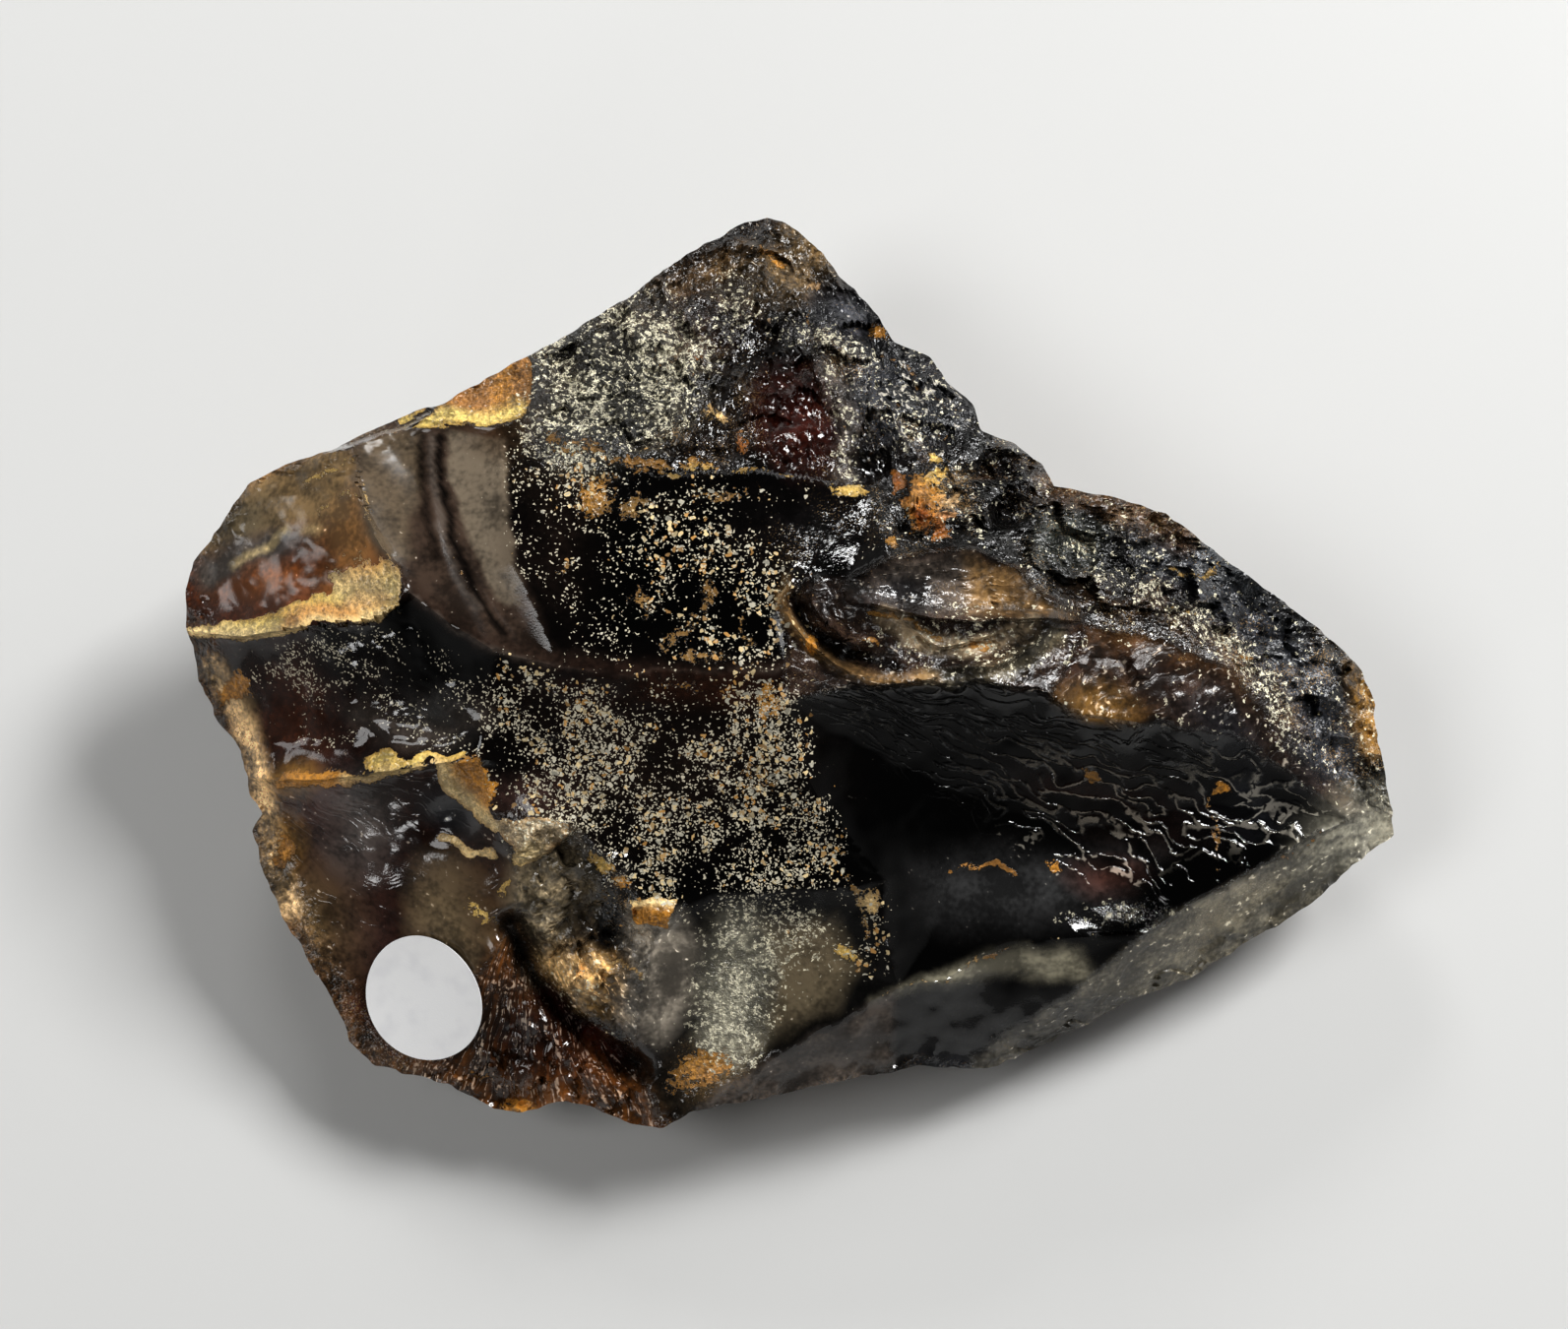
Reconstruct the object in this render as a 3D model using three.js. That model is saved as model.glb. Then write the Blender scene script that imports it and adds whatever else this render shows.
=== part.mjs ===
// A raw lump of blue amber: one broken, conchoidally flaked stone that rests on a flat fracture,
// with a round paper sticker on its front left flank.  Millimetres, +Z up, +Y to the back.
// The top is drawn as a plan: chains of ridge points, each [across, back, height], bound its
// flake scars, and every scar is a sheet stretched between its ridges and hollowed in the middle.

import * as THREE from 'three';

// ---- driving sizes ---------------------------------------------------------------------------

const PLAN_HEIGHT = 20;          // the plan is drawn at this height above the table
const FORWARD_LEAN = 0.2126;     // what lies higher than the plan leans forward by this share
const TAPER = 1 / 352.1;         // and is drawn in by this share for each millimetre
const TAPER_AXIS = [-0.7, 0.77]; // the plan point that the taper draws in towards

const TOP_RINGS = 29;            // rings of triangles from the middle of the top to the rim
const WALL_RINGS = 4;            // rings from the rim to the belly, and as many below it
const WALL_LUMPS = 0.06;         // the walls sink in by up to this share of their distance out
const WALL_GRAIN = 0.025;        // and are rough by this share
const WALL_LUMP_SIZE = [12, 8];  // how large the lumps are, across and in height
const WALL_GRAIN_SIZE = [5, 4];
const WIDEST_TRIANGLE = 1.8;     // the top's triangles are taken to be no wider than this
const SNAP_SHARE = 0.42;         // a point this share of a triangle from a ridge moves onto it

const LEDGE_FACE = 0.3;          // a ledge rises over this width
const LEDGE_END = 3;             // and dies out over this length at its ends
const CLEFT_END = 2;             // as a cleft does over this
const CRUST_GRAIN = 5.5;         // size of the larger lumps of crust
const CRUST_RIM = 5;             // the rim is rough for this far in
const CRUST_RIM_ROUGH = 0.5;
const CRUST_FADE = 2.5;          // crust grows to its full height this far from a ridge
const COARSE_SLICE = 3.3;        // the levels of the noise that the two sizes of lump come from
const FINE_SLICE = 7.7;

const STICKER_CENTRE = [-36.4, -33.1];
const STICKER_RADIUS = 6.5;
const STICKER_THICKNESS = 0.2;
const STICKER_GAP = 0.35;
const STICKER_CALM = 10;         // crust is at its full height this far from the sticker
const STICKER_FADE = 3;          // and grows to it over this distance
const STICKER_RINGS = 3;
const STICKER_SECTORS = 32;

// ---- outline of the lump in the plan, clockwise from its left end ----------------------------

const OUTLINE = [
  [-62.3, 8.6], [-61.5, 11.6], [-59.7, 14.2], [-56.1, 19.9], [-51.3, 22.4], [-47.6, 23.3],
  [-45.4, 24.8], [-39.8, 27.4], [-36.3, 28.4], [-32, 31.1], [-27, 33.8], [-20.1, 38],
  [-16.5, 40.4], [-13.8, 42.6], [-10, 45.2], [-5.5, 47.8], [-2.4, 48.8], [0, 47.9],
  [3.3, 44.9], [5.1, 42.2], [6.8, 41], [9.2, 37.7], [10.7, 35.1], [14.5, 33.5],
  [16.2, 30.8], [18.9, 28.6], [19.7, 25.6], [22.9, 24.3], [26.1, 21.9], [27.2, 19.6],
  [33.1, 18.5], [38.8, 16.7], [41.4, 14.3], [49.8, 7.9], [56.6, 2.3], [58.3, 0.2],
  [59.5, -3.4], [60.2, -8.9], [61, -16.9], [56.8, -20], [52.2, -23.9], [49.1, -26],
  [44.6, -28.4], [40.1, -31.3], [34.1, -33.7], [26.8, -37.2], [21.8, -39.8], [19.4, -40.5],
  [13, -40.1], [7.1, -41.2], [0, -42.8], [-5.1, -43.8], [-10, -44.8], [-12.9, -46.3],
  [-16.1, -46], [-19.9, -44.2], [-22.4, -43.6], [-26.9, -44.8], [-29.8, -44.4], [-33.7, -42.3],
  [-36.6, -41.3], [-41.7, -40.1], [-44.2, -37.5], [-44.8, -35.4], [-47.9, -30.7], [-51.2, -25.1],
  [-53.7, -19.4], [-54.4, -16.3], [-53.3, -14.5], [-55.1, -12.7], [-55.4, -9.2], [-57.7, -5.9],
  [-60.5, -0.9], [-61.8, 5.1],
];

// ---- ridges, as chains of [across, back, height] ---------------------------------------------

// The crest runs from the corner of the slab to the whorl, along the front of the crown.
const CREST = [
  [-39.3, 8.6, 34.3], [-34.8, 5.1, 34.7], [-29.8, 2, 34.8], [-23.3, 0.5, 34.7],
  [-16.4, -0.3, 34.7], [-8, 0, 34.6], [-0.5, 0.2, 34.5],
];
// The slab is the glossy plate at the left end: its foot from right to left, its side downwards.
const SLAB_FOOT = [
  [-42.3, 5.6, 33], [-45.3, 5.1, 31.8], [-50.2, 4.6, 29], [-55.8, 3.8, 25], [-64, 3.5, 17.5],
];
const SLAB_SIDE = [[-46.5, 26, 29.5], [-44.6, 20.5, 32.6], [-43.4, 16, 33.6], [-41, 11.8, 34.1]];
// The band is the smooth strip between the slab and the crown.
const BAND_SIDE = [[-30, 26, 32.4], [-29.3, 18, 33.6], [-28.2, 11.5, 34.2], [-25.6, 6, 34.5]];
const BAND_TOP = [-38.8, 26.6, 30.8];
const WINDOW_SIDE = [-26.8, 27, 32.2];
// The seam divides the crown from the rough shoulder behind it.
const SEAM = [[-22, 23.5, 32.9], [-13.8, 20.5, 33.1], [-3, 21.3, 32.9], [7.7, 19.5, 32.5]];
const PIT_EDGE = [18, 23, 30.6];
const WHORL_BACK = [
  [-1, 7.4, 34.8], [1.5, 9.8, 35], [5.8, 9.6, 35.6], [10.4, 12, 35.9], [14, 12.9, 35.6],
  [18.9, 13, 34.8], [23.6, 10.5, 33.8], [25.7, 7.7, 33.2], [30.2, 4.9, 31.2],
];
const FIBRE_BACK = [[38.3, 3.4, 28.8], [45, 0, 25.6], [50.5, -7.5, 21.6], [57, -13, 16.6]];
// The scoop is the large dark hollow at the right: top from left to right, left side downwards.
const SCOOP_TOP = [
  [-0.5, -3, 33.6], [3.5, -2, 34.1], [7.6, -1.5, 34.2], [14.5, -1, 33.8], [20.6, -0.8, 33],
  [26.2, -2.7, 31.3], [30, -4.8, 29.6], [35.7, -5.4, 27.6], [44.5, -6, 24.3], [50, -10, 20.6],
  [56.3, -15.2, 16.6],
];
const SCOOP_LEFT = [
  [-0.2, -7.5, 32], [2, -11.6, 30.4], [3.2, -14, 29.4], [6.6, -18, 27.6], [9.2, -21.5, 25.8],
  [8.9, -25, 24], [10.7, -32.2, 20.2],
];
const SCOOP_FOOT = [
  [15.5, -31.6, 19.6], [18.5, -29, 19.4], [21.4, -27.8, 19.2], [25.2, -27.2, 19],
  [29.6, -27.3, 18.9],
];
// The spur is the sharp edge above the flat side face, from the right end to the front.
const SPUR_TIP = [59.5, -14.1, 14.4];
const SPUR = [[50.9, -17.6, 17.4], [46.3, -20.3, 18.1], [41.8, -22.7, 18.5], [38.8, -24.5, 18.6]];
const SPUR_FORK = [35.2, -26.9, 18.6];
const SPUR_FRONT = [
  [32.8, -29, 17.4], [29.2, -31.6, 15.4], [26.2, -33.7, 13.6], [20.8, -36.9, 10.8],
  [17.8, -38.7, 9.4],
];
// The lip is the front edge of the pale dish.
const LIP = [[-12, -46, 12], [-7.4, -42.3, 14.4], [-1.8, -39, 16.6], [5.6, -34.9, 18.9]];
const DISH_BACK = [[-8, -22.8, 25.4], [0, -22.2, 26], [6, -22, 26.1]];
const DISH_CORNER = [-13, -25.5, 23.7];
const DISH_LEFT = [[-14.6, -30, 21.4], [-15, -34, 18.8]];
const CRACK_FOOT = [-15.7, -39.6, 14.8];
const CHIP_CORNER = [-30, -14.5, 27.6];
const CHIP_BACK = [[-21.5, -15.5, 27.7], [-16.3, -21, 25.9]];
const CHIP_LEFT = [[-27.8, -18.6, 25.2], [-27.5, -23, 23]];
const CRACK_TOP = [-28, -26, 21.2];
const CRACK = [[-25.3, -31.4, 18], [-22.1, -34.6, 16.4], [-18.4, -37.5, 15.2]];
const FLANK_SIDE = [[-31, -4, 31.7], [-31.5, -9, 29.6]];
const LEDGE = [[-35.2, -9.5, 28.4], [-42.3, -10.4, 26.4], [-49.1, -11.3, 22.8]];
const LEDGE_RIM = [-57.5, -10.5, 15.5];
const HOLLOW_FOOT = [[-32, -32, 17.2], [-36.5, -38, 12.4]];
const HOLLOW_RIM = [-42, -43, 8];

// Rim points lie just outside the outline, clockwise from the left end.
const RIM_LEFT = [[-65, 7, 17.5], [-58, 22, 22.5]];
const RIM_WINDOW = [[-37.5, 31, 28], [-27, 37, 26.8]];
const RIM_BACK = [[-21, 41, 26], [-12, 47, 23.5], [-2.4, 52, 20.5], [9, 42.5, 22.5]];
const RIM_NOTCH = [20, 32, 25.5];
const RIM_RIGHT = [[27, 23.5, 26.5], [40, 19, 24.5], [56, 7, 19], [62.5, -4, 15]];
const RIM_TIP = [65, -17.5, 11];
const RIM_SIDE = [[51, -29, 6], [34, -36.5, 5]];
const RIM_SPUR = [19, -43.5, 5];
const RIM_FACET = [9.5, -44, 8];
const RIM_BEVEL = [-2, -47, 8.5];
const RIM_FRONT = [-13, -49.5, 8.5];
const RIM_FOOT = [-28, -48, 7.5];
const RIM_HOLLOW = [[-50.5, -32, 12], [-57, -20, 14.5]];
const RIM_FLANK = [-64, -1, 16];

const back = (chain) => [...chain].reverse();

// Each scar: its ridges in order, how deep its middle is hollowed, how far from the ridges the
// hollow takes to form, and how rough its surface is.
const SCARS = [
  { name: 'slab',
    ridge: [...RIM_LEFT, ...SLAB_SIDE, CREST[0], ...SLAB_FOOT],
    hollow: -1.2, reach: 7, rough: 0.15 },
  { name: 'band',
    ridge: [RIM_WINDOW[0], BAND_TOP, ...BAND_SIDE, ...back(CREST.slice(0, 4)),
            ...back(SLAB_SIDE)],
    hollow: 1.1, reach: 4, rough: 0 },
  { name: 'window',
    ridge: [BAND_TOP, ...RIM_WINDOW, WINDOW_SIDE, BAND_SIDE[0]],
    hollow: 0.3, reach: 2, rough: 0.3 },
  { name: 'crown',
    ridge: [...back(BAND_SIDE), WINDOW_SIDE, ...SEAM, ...back(WHORL_BACK.slice(0, 4)),
            ...back(CREST.slice(3))],
    hollow: 0.7, reach: 5, rough: 0.1 },
  { name: 'shoulder',
    ridge: [WINDOW_SIDE, RIM_WINDOW[1], ...RIM_BACK, RIM_NOTCH, PIT_EDGE, ...back(SEAM)],
    hollow: -1.2, reach: 6, rough: 0.8 },
  { name: 'right crust',
    ridge: [SEAM[3], PIT_EDGE, RIM_NOTCH, ...RIM_RIGHT, RIM_TIP, SPUR_TIP, ...back(FIBRE_BACK),
            ...back(WHORL_BACK.slice(3))],
    hollow: -1, reach: 5, rough: 1 },
  { name: 'whorl',
    ridge: [...WHORL_BACK, ...back(SCOOP_TOP.slice(0, 6)), CREST[6]],
    hollow: 0.6, reach: 3, rough: 0.35 },
  { name: 'fibrous',
    ridge: [WHORL_BACK[8], ...FIBRE_BACK, SPUR_TIP, ...back(SCOOP_TOP.slice(5))],
    hollow: -0.4, reach: 3, rough: 0.5 },
  { name: 'scoop',
    ridge: [...SCOOP_TOP, ...SPUR, SPUR_FORK, ...back(SCOOP_FOOT), ...back(SCOOP_LEFT)],
    hollow: 5.2, reach: 9, rough: 0.1 },
  { name: 'facet',
    ridge: [SCOOP_LEFT[6], ...SCOOP_FOOT, SPUR_FORK, ...SPUR_FRONT, RIM_SPUR, RIM_FACET],
    hollow: 0.4, reach: 3, rough: 0.15 },
  { name: 'side',
    ridge: [SPUR_TIP, SCOOP_TOP[10], ...SPUR, SPUR_FORK, ...SPUR_FRONT, RIM_SPUR,
            ...back(RIM_SIDE), RIM_TIP],
    hollow: 0, reach: 3, rough: 0.2 },
  { name: 'bevel',
    ridge: [...LIP, SCOOP_LEFT[6], RIM_FACET, RIM_BEVEL, RIM_FRONT],
    hollow: 0.3, reach: 3, rough: 0.15 },
  { name: 'dish',
    ridge: [DISH_CORNER, ...DISH_BACK, ...SCOOP_LEFT.slice(4), ...back(LIP), CRACK_FOOT,
            ...back(DISH_LEFT)],
    hollow: 1.7, reach: 5, rough: 0 },
  { name: 'speckled',
    ridge: [...CREST.slice(2), SCOOP_TOP[0], ...SCOOP_LEFT.slice(0, 5), ...back(DISH_BACK),
            DISH_CORNER, ...back(CHIP_BACK), CHIP_CORNER, ...back(FLANK_SIDE)],
    hollow: 0.9, reach: 6, rough: 0.15 },
  { name: 'flank',
    ridge: [...CREST.slice(0, 3), ...FLANK_SIDE, ...LEDGE, LEDGE_RIM, RIM_FLANK,
            ...back(SLAB_FOOT)],
    hollow: 0.8, reach: 4, rough: 0.2 },
  { name: 'hollow',
    ridge: [FLANK_SIDE[1], CHIP_CORNER, ...CHIP_LEFT, CRACK_TOP, ...HOLLOW_FOOT, HOLLOW_RIM,
            ...RIM_HOLLOW, LEDGE_RIM, ...back(LEDGE)],
    hollow: 1.9, reach: 5, rough: 0.1 },
  { name: 'chips',
    ridge: [CHIP_CORNER, ...CHIP_BACK, DISH_CORNER, ...DISH_LEFT, CRACK_FOOT, ...back(CRACK),
            CRACK_TOP, ...back(CHIP_LEFT)],
    hollow: 0.3, reach: 2, rough: 0.9 },
  { name: 'foot',
    ridge: [CRACK_TOP, ...CRACK, CRACK_FOOT, LIP[0], RIM_FRONT, RIM_FOOT, HOLLOW_RIM,
            ...back(HOLLOW_FOOT)],
    hollow: 0.2, reach: 2, rough: 0.8 },
];

// Ledges: the stone steps up on the left of each line, as it is walked, and falls back to its
// old level over the reach.
const LEDGES = [
  { name: 'slab edge', rise: 1.8, reach: 7,
    line: [[-66, 4.5], [-55.8, 3.8], [-50.2, 4.6], [-45.3, 5.1], [-42.3, 5.6], [-40, 6.8],
           [-39.3, 8.7], [-41, 11.8], [-43.4, 16], [-44.6, 20], [-45.4, 27]] },
  { name: 'low step behind the band', rise: -9, reach: 90,
    line: [[-53, 23.4], [-47.6, 23.5], [-45.2, 24], [-42.3, 25.3], [-39.7, 25.9], [-37.4, 27.6],
           [-33, 33]] },
  { name: 'outer curl of the whorl', rise: 1.5, reach: 1.6,
    line: [[0.5, 11], [-0.5, 9.3], [-0.9, 7.4], [0, 5], [1.3, 3.1], [3.1, 1.9], [5.2, 0.4],
           [7.6, -1.2]] },
  { name: 'inner curl of the whorl', rise: 1.7, reach: 1.6,
    line: [[3.6, 10.6], [2.5, 9.9], [1.9, 8], [3.7, 5], [5.5, 3.4], [7.4, 2.6]] },
  { name: 'back of the lens', rise: 1.6, reach: 5,
    line: [[29.6, 5.8], [25.7, 7.9], [23.6, 10.5], [18.9, 12.8], [14, 12.7], [10.4, 11.8],
           [5.8, 9.3], [4, 8]] },
  { name: 'front of the lens', rise: 2, reach: 5,
    line: [[5.6, 7.7], [10.4, 6.5], [14.6, 5.6], [19.4, 5.3], [26, 5.6], [30, 5.2]] },
  { name: 'middle leaf of the whorl', rise: 1, reach: 2,
    line: [[9.5, 6.2], [12.2, 4.7], [14.9, 2.8], [17.4, 2.8], [20.1, 3.7], [22.8, 5]] },
  { name: 'lower leaf of the whorl', rise: 1, reach: 2.4,
    line: [[15, 0.2], [17.3, 0.4], [20.6, 0.7], [23.6, 2.2], [25.5, 4.1], [27.3, 5.3]] },
  { name: 'brow over the scoop', rise: 1.5, reach: 3,
    line: [[4.5, -1.2], [7.6, -1.5], [14.5, -0.8], [16.9, -1.8], [18.8, -0.6], [24.8, -1.6],
           [28.6, -3.6]] },
  { name: 'chip on the flank', rise: 1.3, reach: 3,
    line: [[-30.2, -17.4], [-27.8, -18.6], [-26, -19.2], [-22.4, -17], [-21, -14.6]] },
  { name: 'lip of the left hollow', rise: 1.2, reach: 3,
    line: [[-56, -11], [-49.1, -11.3], [-42.3, -10.4], [-35.2, -9.6], [-29, -9.4]] },
  { name: 'block beside the crack', rise: 1.5, reach: 3,
    line: [[-26.2, -30], [-21, -35], [-16.2, -38.8]] },
];

// Clefts: narrow valleys along a line.
const CLEFTS = [
  { depth: 3.6, width: 1.5,
    line: [[-28.6, -24], [-26.8, -28.6], [-24, -33], [-20.6, -36.4], [-16.2, -39.9], [-14, -42]] },
  { depth: 1.5, width: 1,
    line: [[0.6, 9.2], [0.4, 7.2], [1.6, 4.8], [3.4, 3], [6.2, 1.6], [10, 1.2]] },
  { depth: 1.8, width: 1.3, line: [[5.6, 23.4], [8.3, 20.6], [10.6, 23.6]] },
];

// Dimples have a sharp round rim; a negative depth makes a knob.
const DIMPLES = [
  { centre: [-37.4, -6.3], radii: [6.2, 2.6], turn: -0.12, depth: 0.8 },
  { centre: [-33.9, -15], radii: [3.6, 2.8], turn: 0.6, depth: 1.1 },
  { centre: [21.3, 21.4], radii: [2.6, 2.1], turn: 0.3, depth: 3 },
  { centre: [22.3, 16.8], radii: [2.3, 2], turn: 0, depth: 2.4 },
  { centre: [-13.2, -25], radii: [2.6, 1.9], turn: 0.3, depth: -1 },
  { centre: [-18, -20.6], radii: [3, 1.5], turn: 0.8, depth: -0.9 },
  { centre: [-16.8, -27.6], radii: [3.6, 3.2], turn: 0, depth: 1.5 },
  { centre: [14, 17.8], radii: [3.6, 3.2], turn: 0.4, depth: -1 },
  { centre: [33, -24.6], radii: [5.2, 2.6], turn: 0.2, depth: 0.9 },
];

// ---- underside: the belly is where the walls turn in, and the base is the flat fracture ------

const BELLY = [
  [-56, 5, 9], [-43, 18.5, 15], [-18, 34, 14], [-2.5, 42, 11], [13, 27, 14], [24, 16.5, 15],
  [44, 8, 12], [54, -5, 8], [56, -16, 5.5], [39, -26.5, 3], [17, -36, 3], [-8, -40, 4.5],
  [-28, -39, 4], [-42, -31, 6], [-51, -12, 8.5],
];
const BASE = [
  [-43, -4], [-36, 10], [-14, 23], [2, 24], [24, 7], [43, -3], [44, -13], [28, -24],
  [2, -31], [-24, -29], [-37, -19],
];

// ---- plan geometry ---------------------------------------------------------------------------

const mix = (a, b, t) => a * (1 - t) + b * t;
const clamp = (value) => Math.min(1, Math.max(0, value));

// The nearest place on a line: how far, on which side, how far along it, and where.
function nearestOn(line, u, v, closed = false) {
  const count = closed ? line.length : line.length - 1;
  let best = { distance: Infinity, offset: 0 };
  let walked = 0;
  for (let i = 0; i < count; i += 1) {
    const [au, av] = line[i];
    const [bu, bv] = line[(i + 1) % line.length];
    const length = Math.hypot(bu - au, bv - av);
    const du = (bu - au) / length;
    const dv = (bv - av) / length;
    const along = Math.min(length, Math.max(0, (u - au) * du + (v - av) * dv));
    const distance = Math.hypot(u - au - du * along, v - av - dv * along);
    const offset = du * (v - av) - dv * (u - au);
    const tied = Math.abs(distance - best.distance) < 1e-6;
    if (tied ? Math.abs(offset) > Math.abs(best.offset) : distance < best.distance) {
      best = { distance, offset, walked: walked + along, u: au + du * along, v: av + dv * along };
    }
    walked += length;
  }
  return { ...best, length: walked };
}

function isInside(ring, u, v) {
  let inside = false;
  for (let i = 0, j = ring.length - 1; i < ring.length; j = i, i += 1) {
    const [ui, vi] = ring[i];
    const [uj, vj] = ring[j];
    if ((vi > v) !== (vj > v) && u < ((uj - ui) * (v - vi)) / (vj - vi) + ui) inside = !inside;
  }
  return inside;
}

// Mean value interpolation: the height of a sheet stretched over a ring of ridge points.
function stretchedHeight(ring, u, v) {
  let total = 0;
  let sum = 0;
  for (let i = 0; i < ring.length; i += 1) {
    const before = ring[(i + ring.length - 1) % ring.length];
    const here = ring[i];
    const after = ring[(i + 1) % ring.length];
    const reach = Math.hypot(here[0] - u, here[1] - v);
    if (reach < 1e-6) return here[2];
    const weight = (halfTangent(before, here, u, v) + halfTangent(here, after, u, v)) / reach;
    total += weight;
    sum += weight * here[2];
  }
  return sum / total;
}

function halfTangent(a, b, u, v) {
  const [pu, pv, qu, qv] = [a[0] - u, a[1] - v, b[0] - u, b[1] - v];
  const cross = pu * qv - pv * qu;
  const spread = Math.hypot(pu, pv) * Math.hypot(qu, qv) - (pu * qu + pv * qv);
  return spread / (Math.abs(cross) < 1e-7 ? 1e-7 : cross);
}

// Smooth repeatable noise between -1 and 1.
function latticeValue(i, j, k) {
  const wave = Math.sin(i * 127.1 + j * 311.7 + k * 74.7) * 43758.5453;
  return 2 * (wave - Math.floor(wave)) - 1;
}

function noise(x, y, z) {
  const [i, j, k] = [Math.floor(x), Math.floor(y), Math.floor(z)];
  const ease = (t) => t * t * (3 - 2 * t);
  const [a, b, c] = [ease(x - i), ease(y - j), ease(z - k)];
  const edge = (dj, dk) => mix(latticeValue(i, j + dj, k + dk),
                               latticeValue(i + 1, j + dj, k + dk), a);
  return mix(mix(edge(0, 0), edge(1, 0), b), mix(edge(0, 1), edge(1, 1), b), c);
}

// ---- the top sheet ---------------------------------------------------------------------------

function scarAt(u, v) {
  const hit = SCARS.find((scar) => isInside(scar.ridge, u, v));
  if (hit) return hit;
  const distances = SCARS.map((scar) => nearestOn(scar.ridge, u, v, true).distance);
  return SCARS[distances.indexOf(Math.min(...distances))];
}

const fadedEnds = (near, length) => (
  clamp(Math.min(near.walked, near.length - near.walked) / length)
);

function ledgeRise(ledge, u, v) {
  const near = nearestOn(ledge.line, u, v);
  const profile = near.offset < 0 ? clamp(1 - near.distance / LEDGE_FACE)
                                  : Math.exp(-near.distance / ledge.reach);
  return ledge.rise * profile * fadedEnds(near, LEDGE_END);
}

function cleftDepth(cleft, u, v) {
  const near = nearestOn(cleft.line, u, v);
  const profile = Math.exp(-((near.distance / cleft.width) ** 2));
  return cleft.depth * profile * fadedEnds(near, CLEFT_END);
}

function dimpleDepth({ centre, radii, turn, depth }, u, v) {
  const [du, dv] = [u - centre[0], v - centre[1]];
  const across = (du * Math.cos(turn) + dv * Math.sin(turn)) / radii[0];
  const along = (dv * Math.cos(turn) - du * Math.sin(turn)) / radii[1];
  return depth * Math.max(0, 1 - across * across - along * along);
}

function crustRise(scar, ridgeDistance, u, v) {
  const rim = clamp(1 - nearestOn(OUTLINE, u, v, true).distance / CRUST_RIM) * CRUST_RIM_ROUGH;
  const rough = Math.max(rim, scar.rough * clamp(ridgeDistance / CRUST_FADE));
  const fromSticker = Math.hypot(u - STICKER_CENTRE[0], v - STICKER_CENTRE[1]);
  const calm = clamp(1 + (fromSticker - STICKER_CALM) / STICKER_FADE);
  const coarse = noise(u / CRUST_GRAIN, v / CRUST_GRAIN, COARSE_SLICE);
  const fine = noise((2 * u) / CRUST_GRAIN, (2 * v) / CRUST_GRAIN, FINE_SLICE);
  return rough * calm * (coarse + fine / 2);
}

function topHeight(u, v) {
  const scar = scarAt(u, v);
  const ridge = nearestOn(scar.ridge, u, v, true).distance;
  let height = stretchedHeight(scar.ridge, u, v);
  height -= scar.hollow * (1 - Math.exp(-ridge / scar.reach));
  for (const ledge of LEDGES) height += ledgeRise(ledge, u, v);
  for (const cleft of CLEFTS) height -= cleftDepth(cleft, u, v);
  for (const dimple of DIMPLES) height -= dimpleDepth(dimple, u, v);
  return height + crustRise(scar, ridge, u, v);
}

// From the plan to the leaning, tapering lump.
function place(u, v, height) {
  const rise = height - PLAN_HEIGHT;
  return new THREE.Vector3(
    TAPER_AXIS[0] + (u - TAPER_AXIS[0]) * (1 - rise * TAPER),
    TAPER_AXIS[1] + (v - TAPER_AXIS[1]) * (1 - rise * TAPER) - rise * FORWARD_LEAN,
    height,
  );
}

// ---- the stone -------------------------------------------------------------------------------

// Points spaced evenly round a closed line.
function evenlyRound(ring, count) {
  const lengths = ring.map(([u, v], i) => {
    const [nu, nv] = ring[(i + 1) % ring.length];
    return Math.hypot(nu - u, nv - v);
  });
  const step = lengths.reduce((a, b) => a + b, 0) / count;
  const points = [];
  let edge = 0;
  let walked = 0;
  for (let i = 0; i < count; i += 1) {
    while (i * step > walked + lengths[edge]) {
      walked += lengths[edge];
      edge += 1;
    }
    const share = (i * step - walked) / lengths[edge];
    const next = ring[(edge + 1) % ring.length];
    points.push([mix(ring[edge][0], next[0], share), mix(ring[edge][1], next[1], share)]);
  }
  return points;
}

// The point of a closed ring between two of its points: 2.5 is halfway from point 2 to point 3.
function between(ring, number) {
  const first = Math.floor(number);
  const [here, next] = [ring[first % ring.length], ring[(first + 1) % ring.length]];
  return here.map((value, axis) => mix(value, next[axis], number - first));
}

const RIDGE_LINES = [
  ...SCARS.map((scar) => [...scar.ridge, scar.ridge[0]]),
  ...LEDGES.map((ledge) => ledge.line),
  ...CLEFTS.map((cleft) => cleft.line),
];

// A point close to a ridge moves onto it, unless another point already stands there.
function snapToRidge(u, v, spacing, taken) {
  let best = { distance: SNAP_SHARE * spacing, u, v };
  for (const line of RIDGE_LINES) {
    const near = nearestOn(line, u, v);
    const isFree = taken.every(([tu, tv]) => Math.hypot(tu - near.u, tv - near.v) > spacing / 3);
    if (near.distance < best.distance && isFree) best = near;
  }
  if (best.u !== u || best.v !== v) taken.push([best.u, best.v]);
  return [best.u, best.v];
}

// Where a ray from the middle of the plan meets a ring of corners.
function ringPoint(ring, angle) {
  const [cu, cv] = [Math.cos(angle), Math.sin(angle)];
  for (let i = 0; i < ring.length; i += 1) {
    const a = ring[i];
    const b = ring[(i + 1) % ring.length];
    const crossA = cu * a[1] - cv * a[0];
    const crossB = cu * b[1] - cv * b[0];
    const share = crossA / (crossA - crossB);
    const point = a.map((value, axis) => mix(value, b[axis], share));
    if (crossA >= 0 !== crossB >= 0 && point[0] * cu + point[1] * cv > 0) return point;
  }
  throw new Error('the ring does not go round the middle');
}

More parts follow.
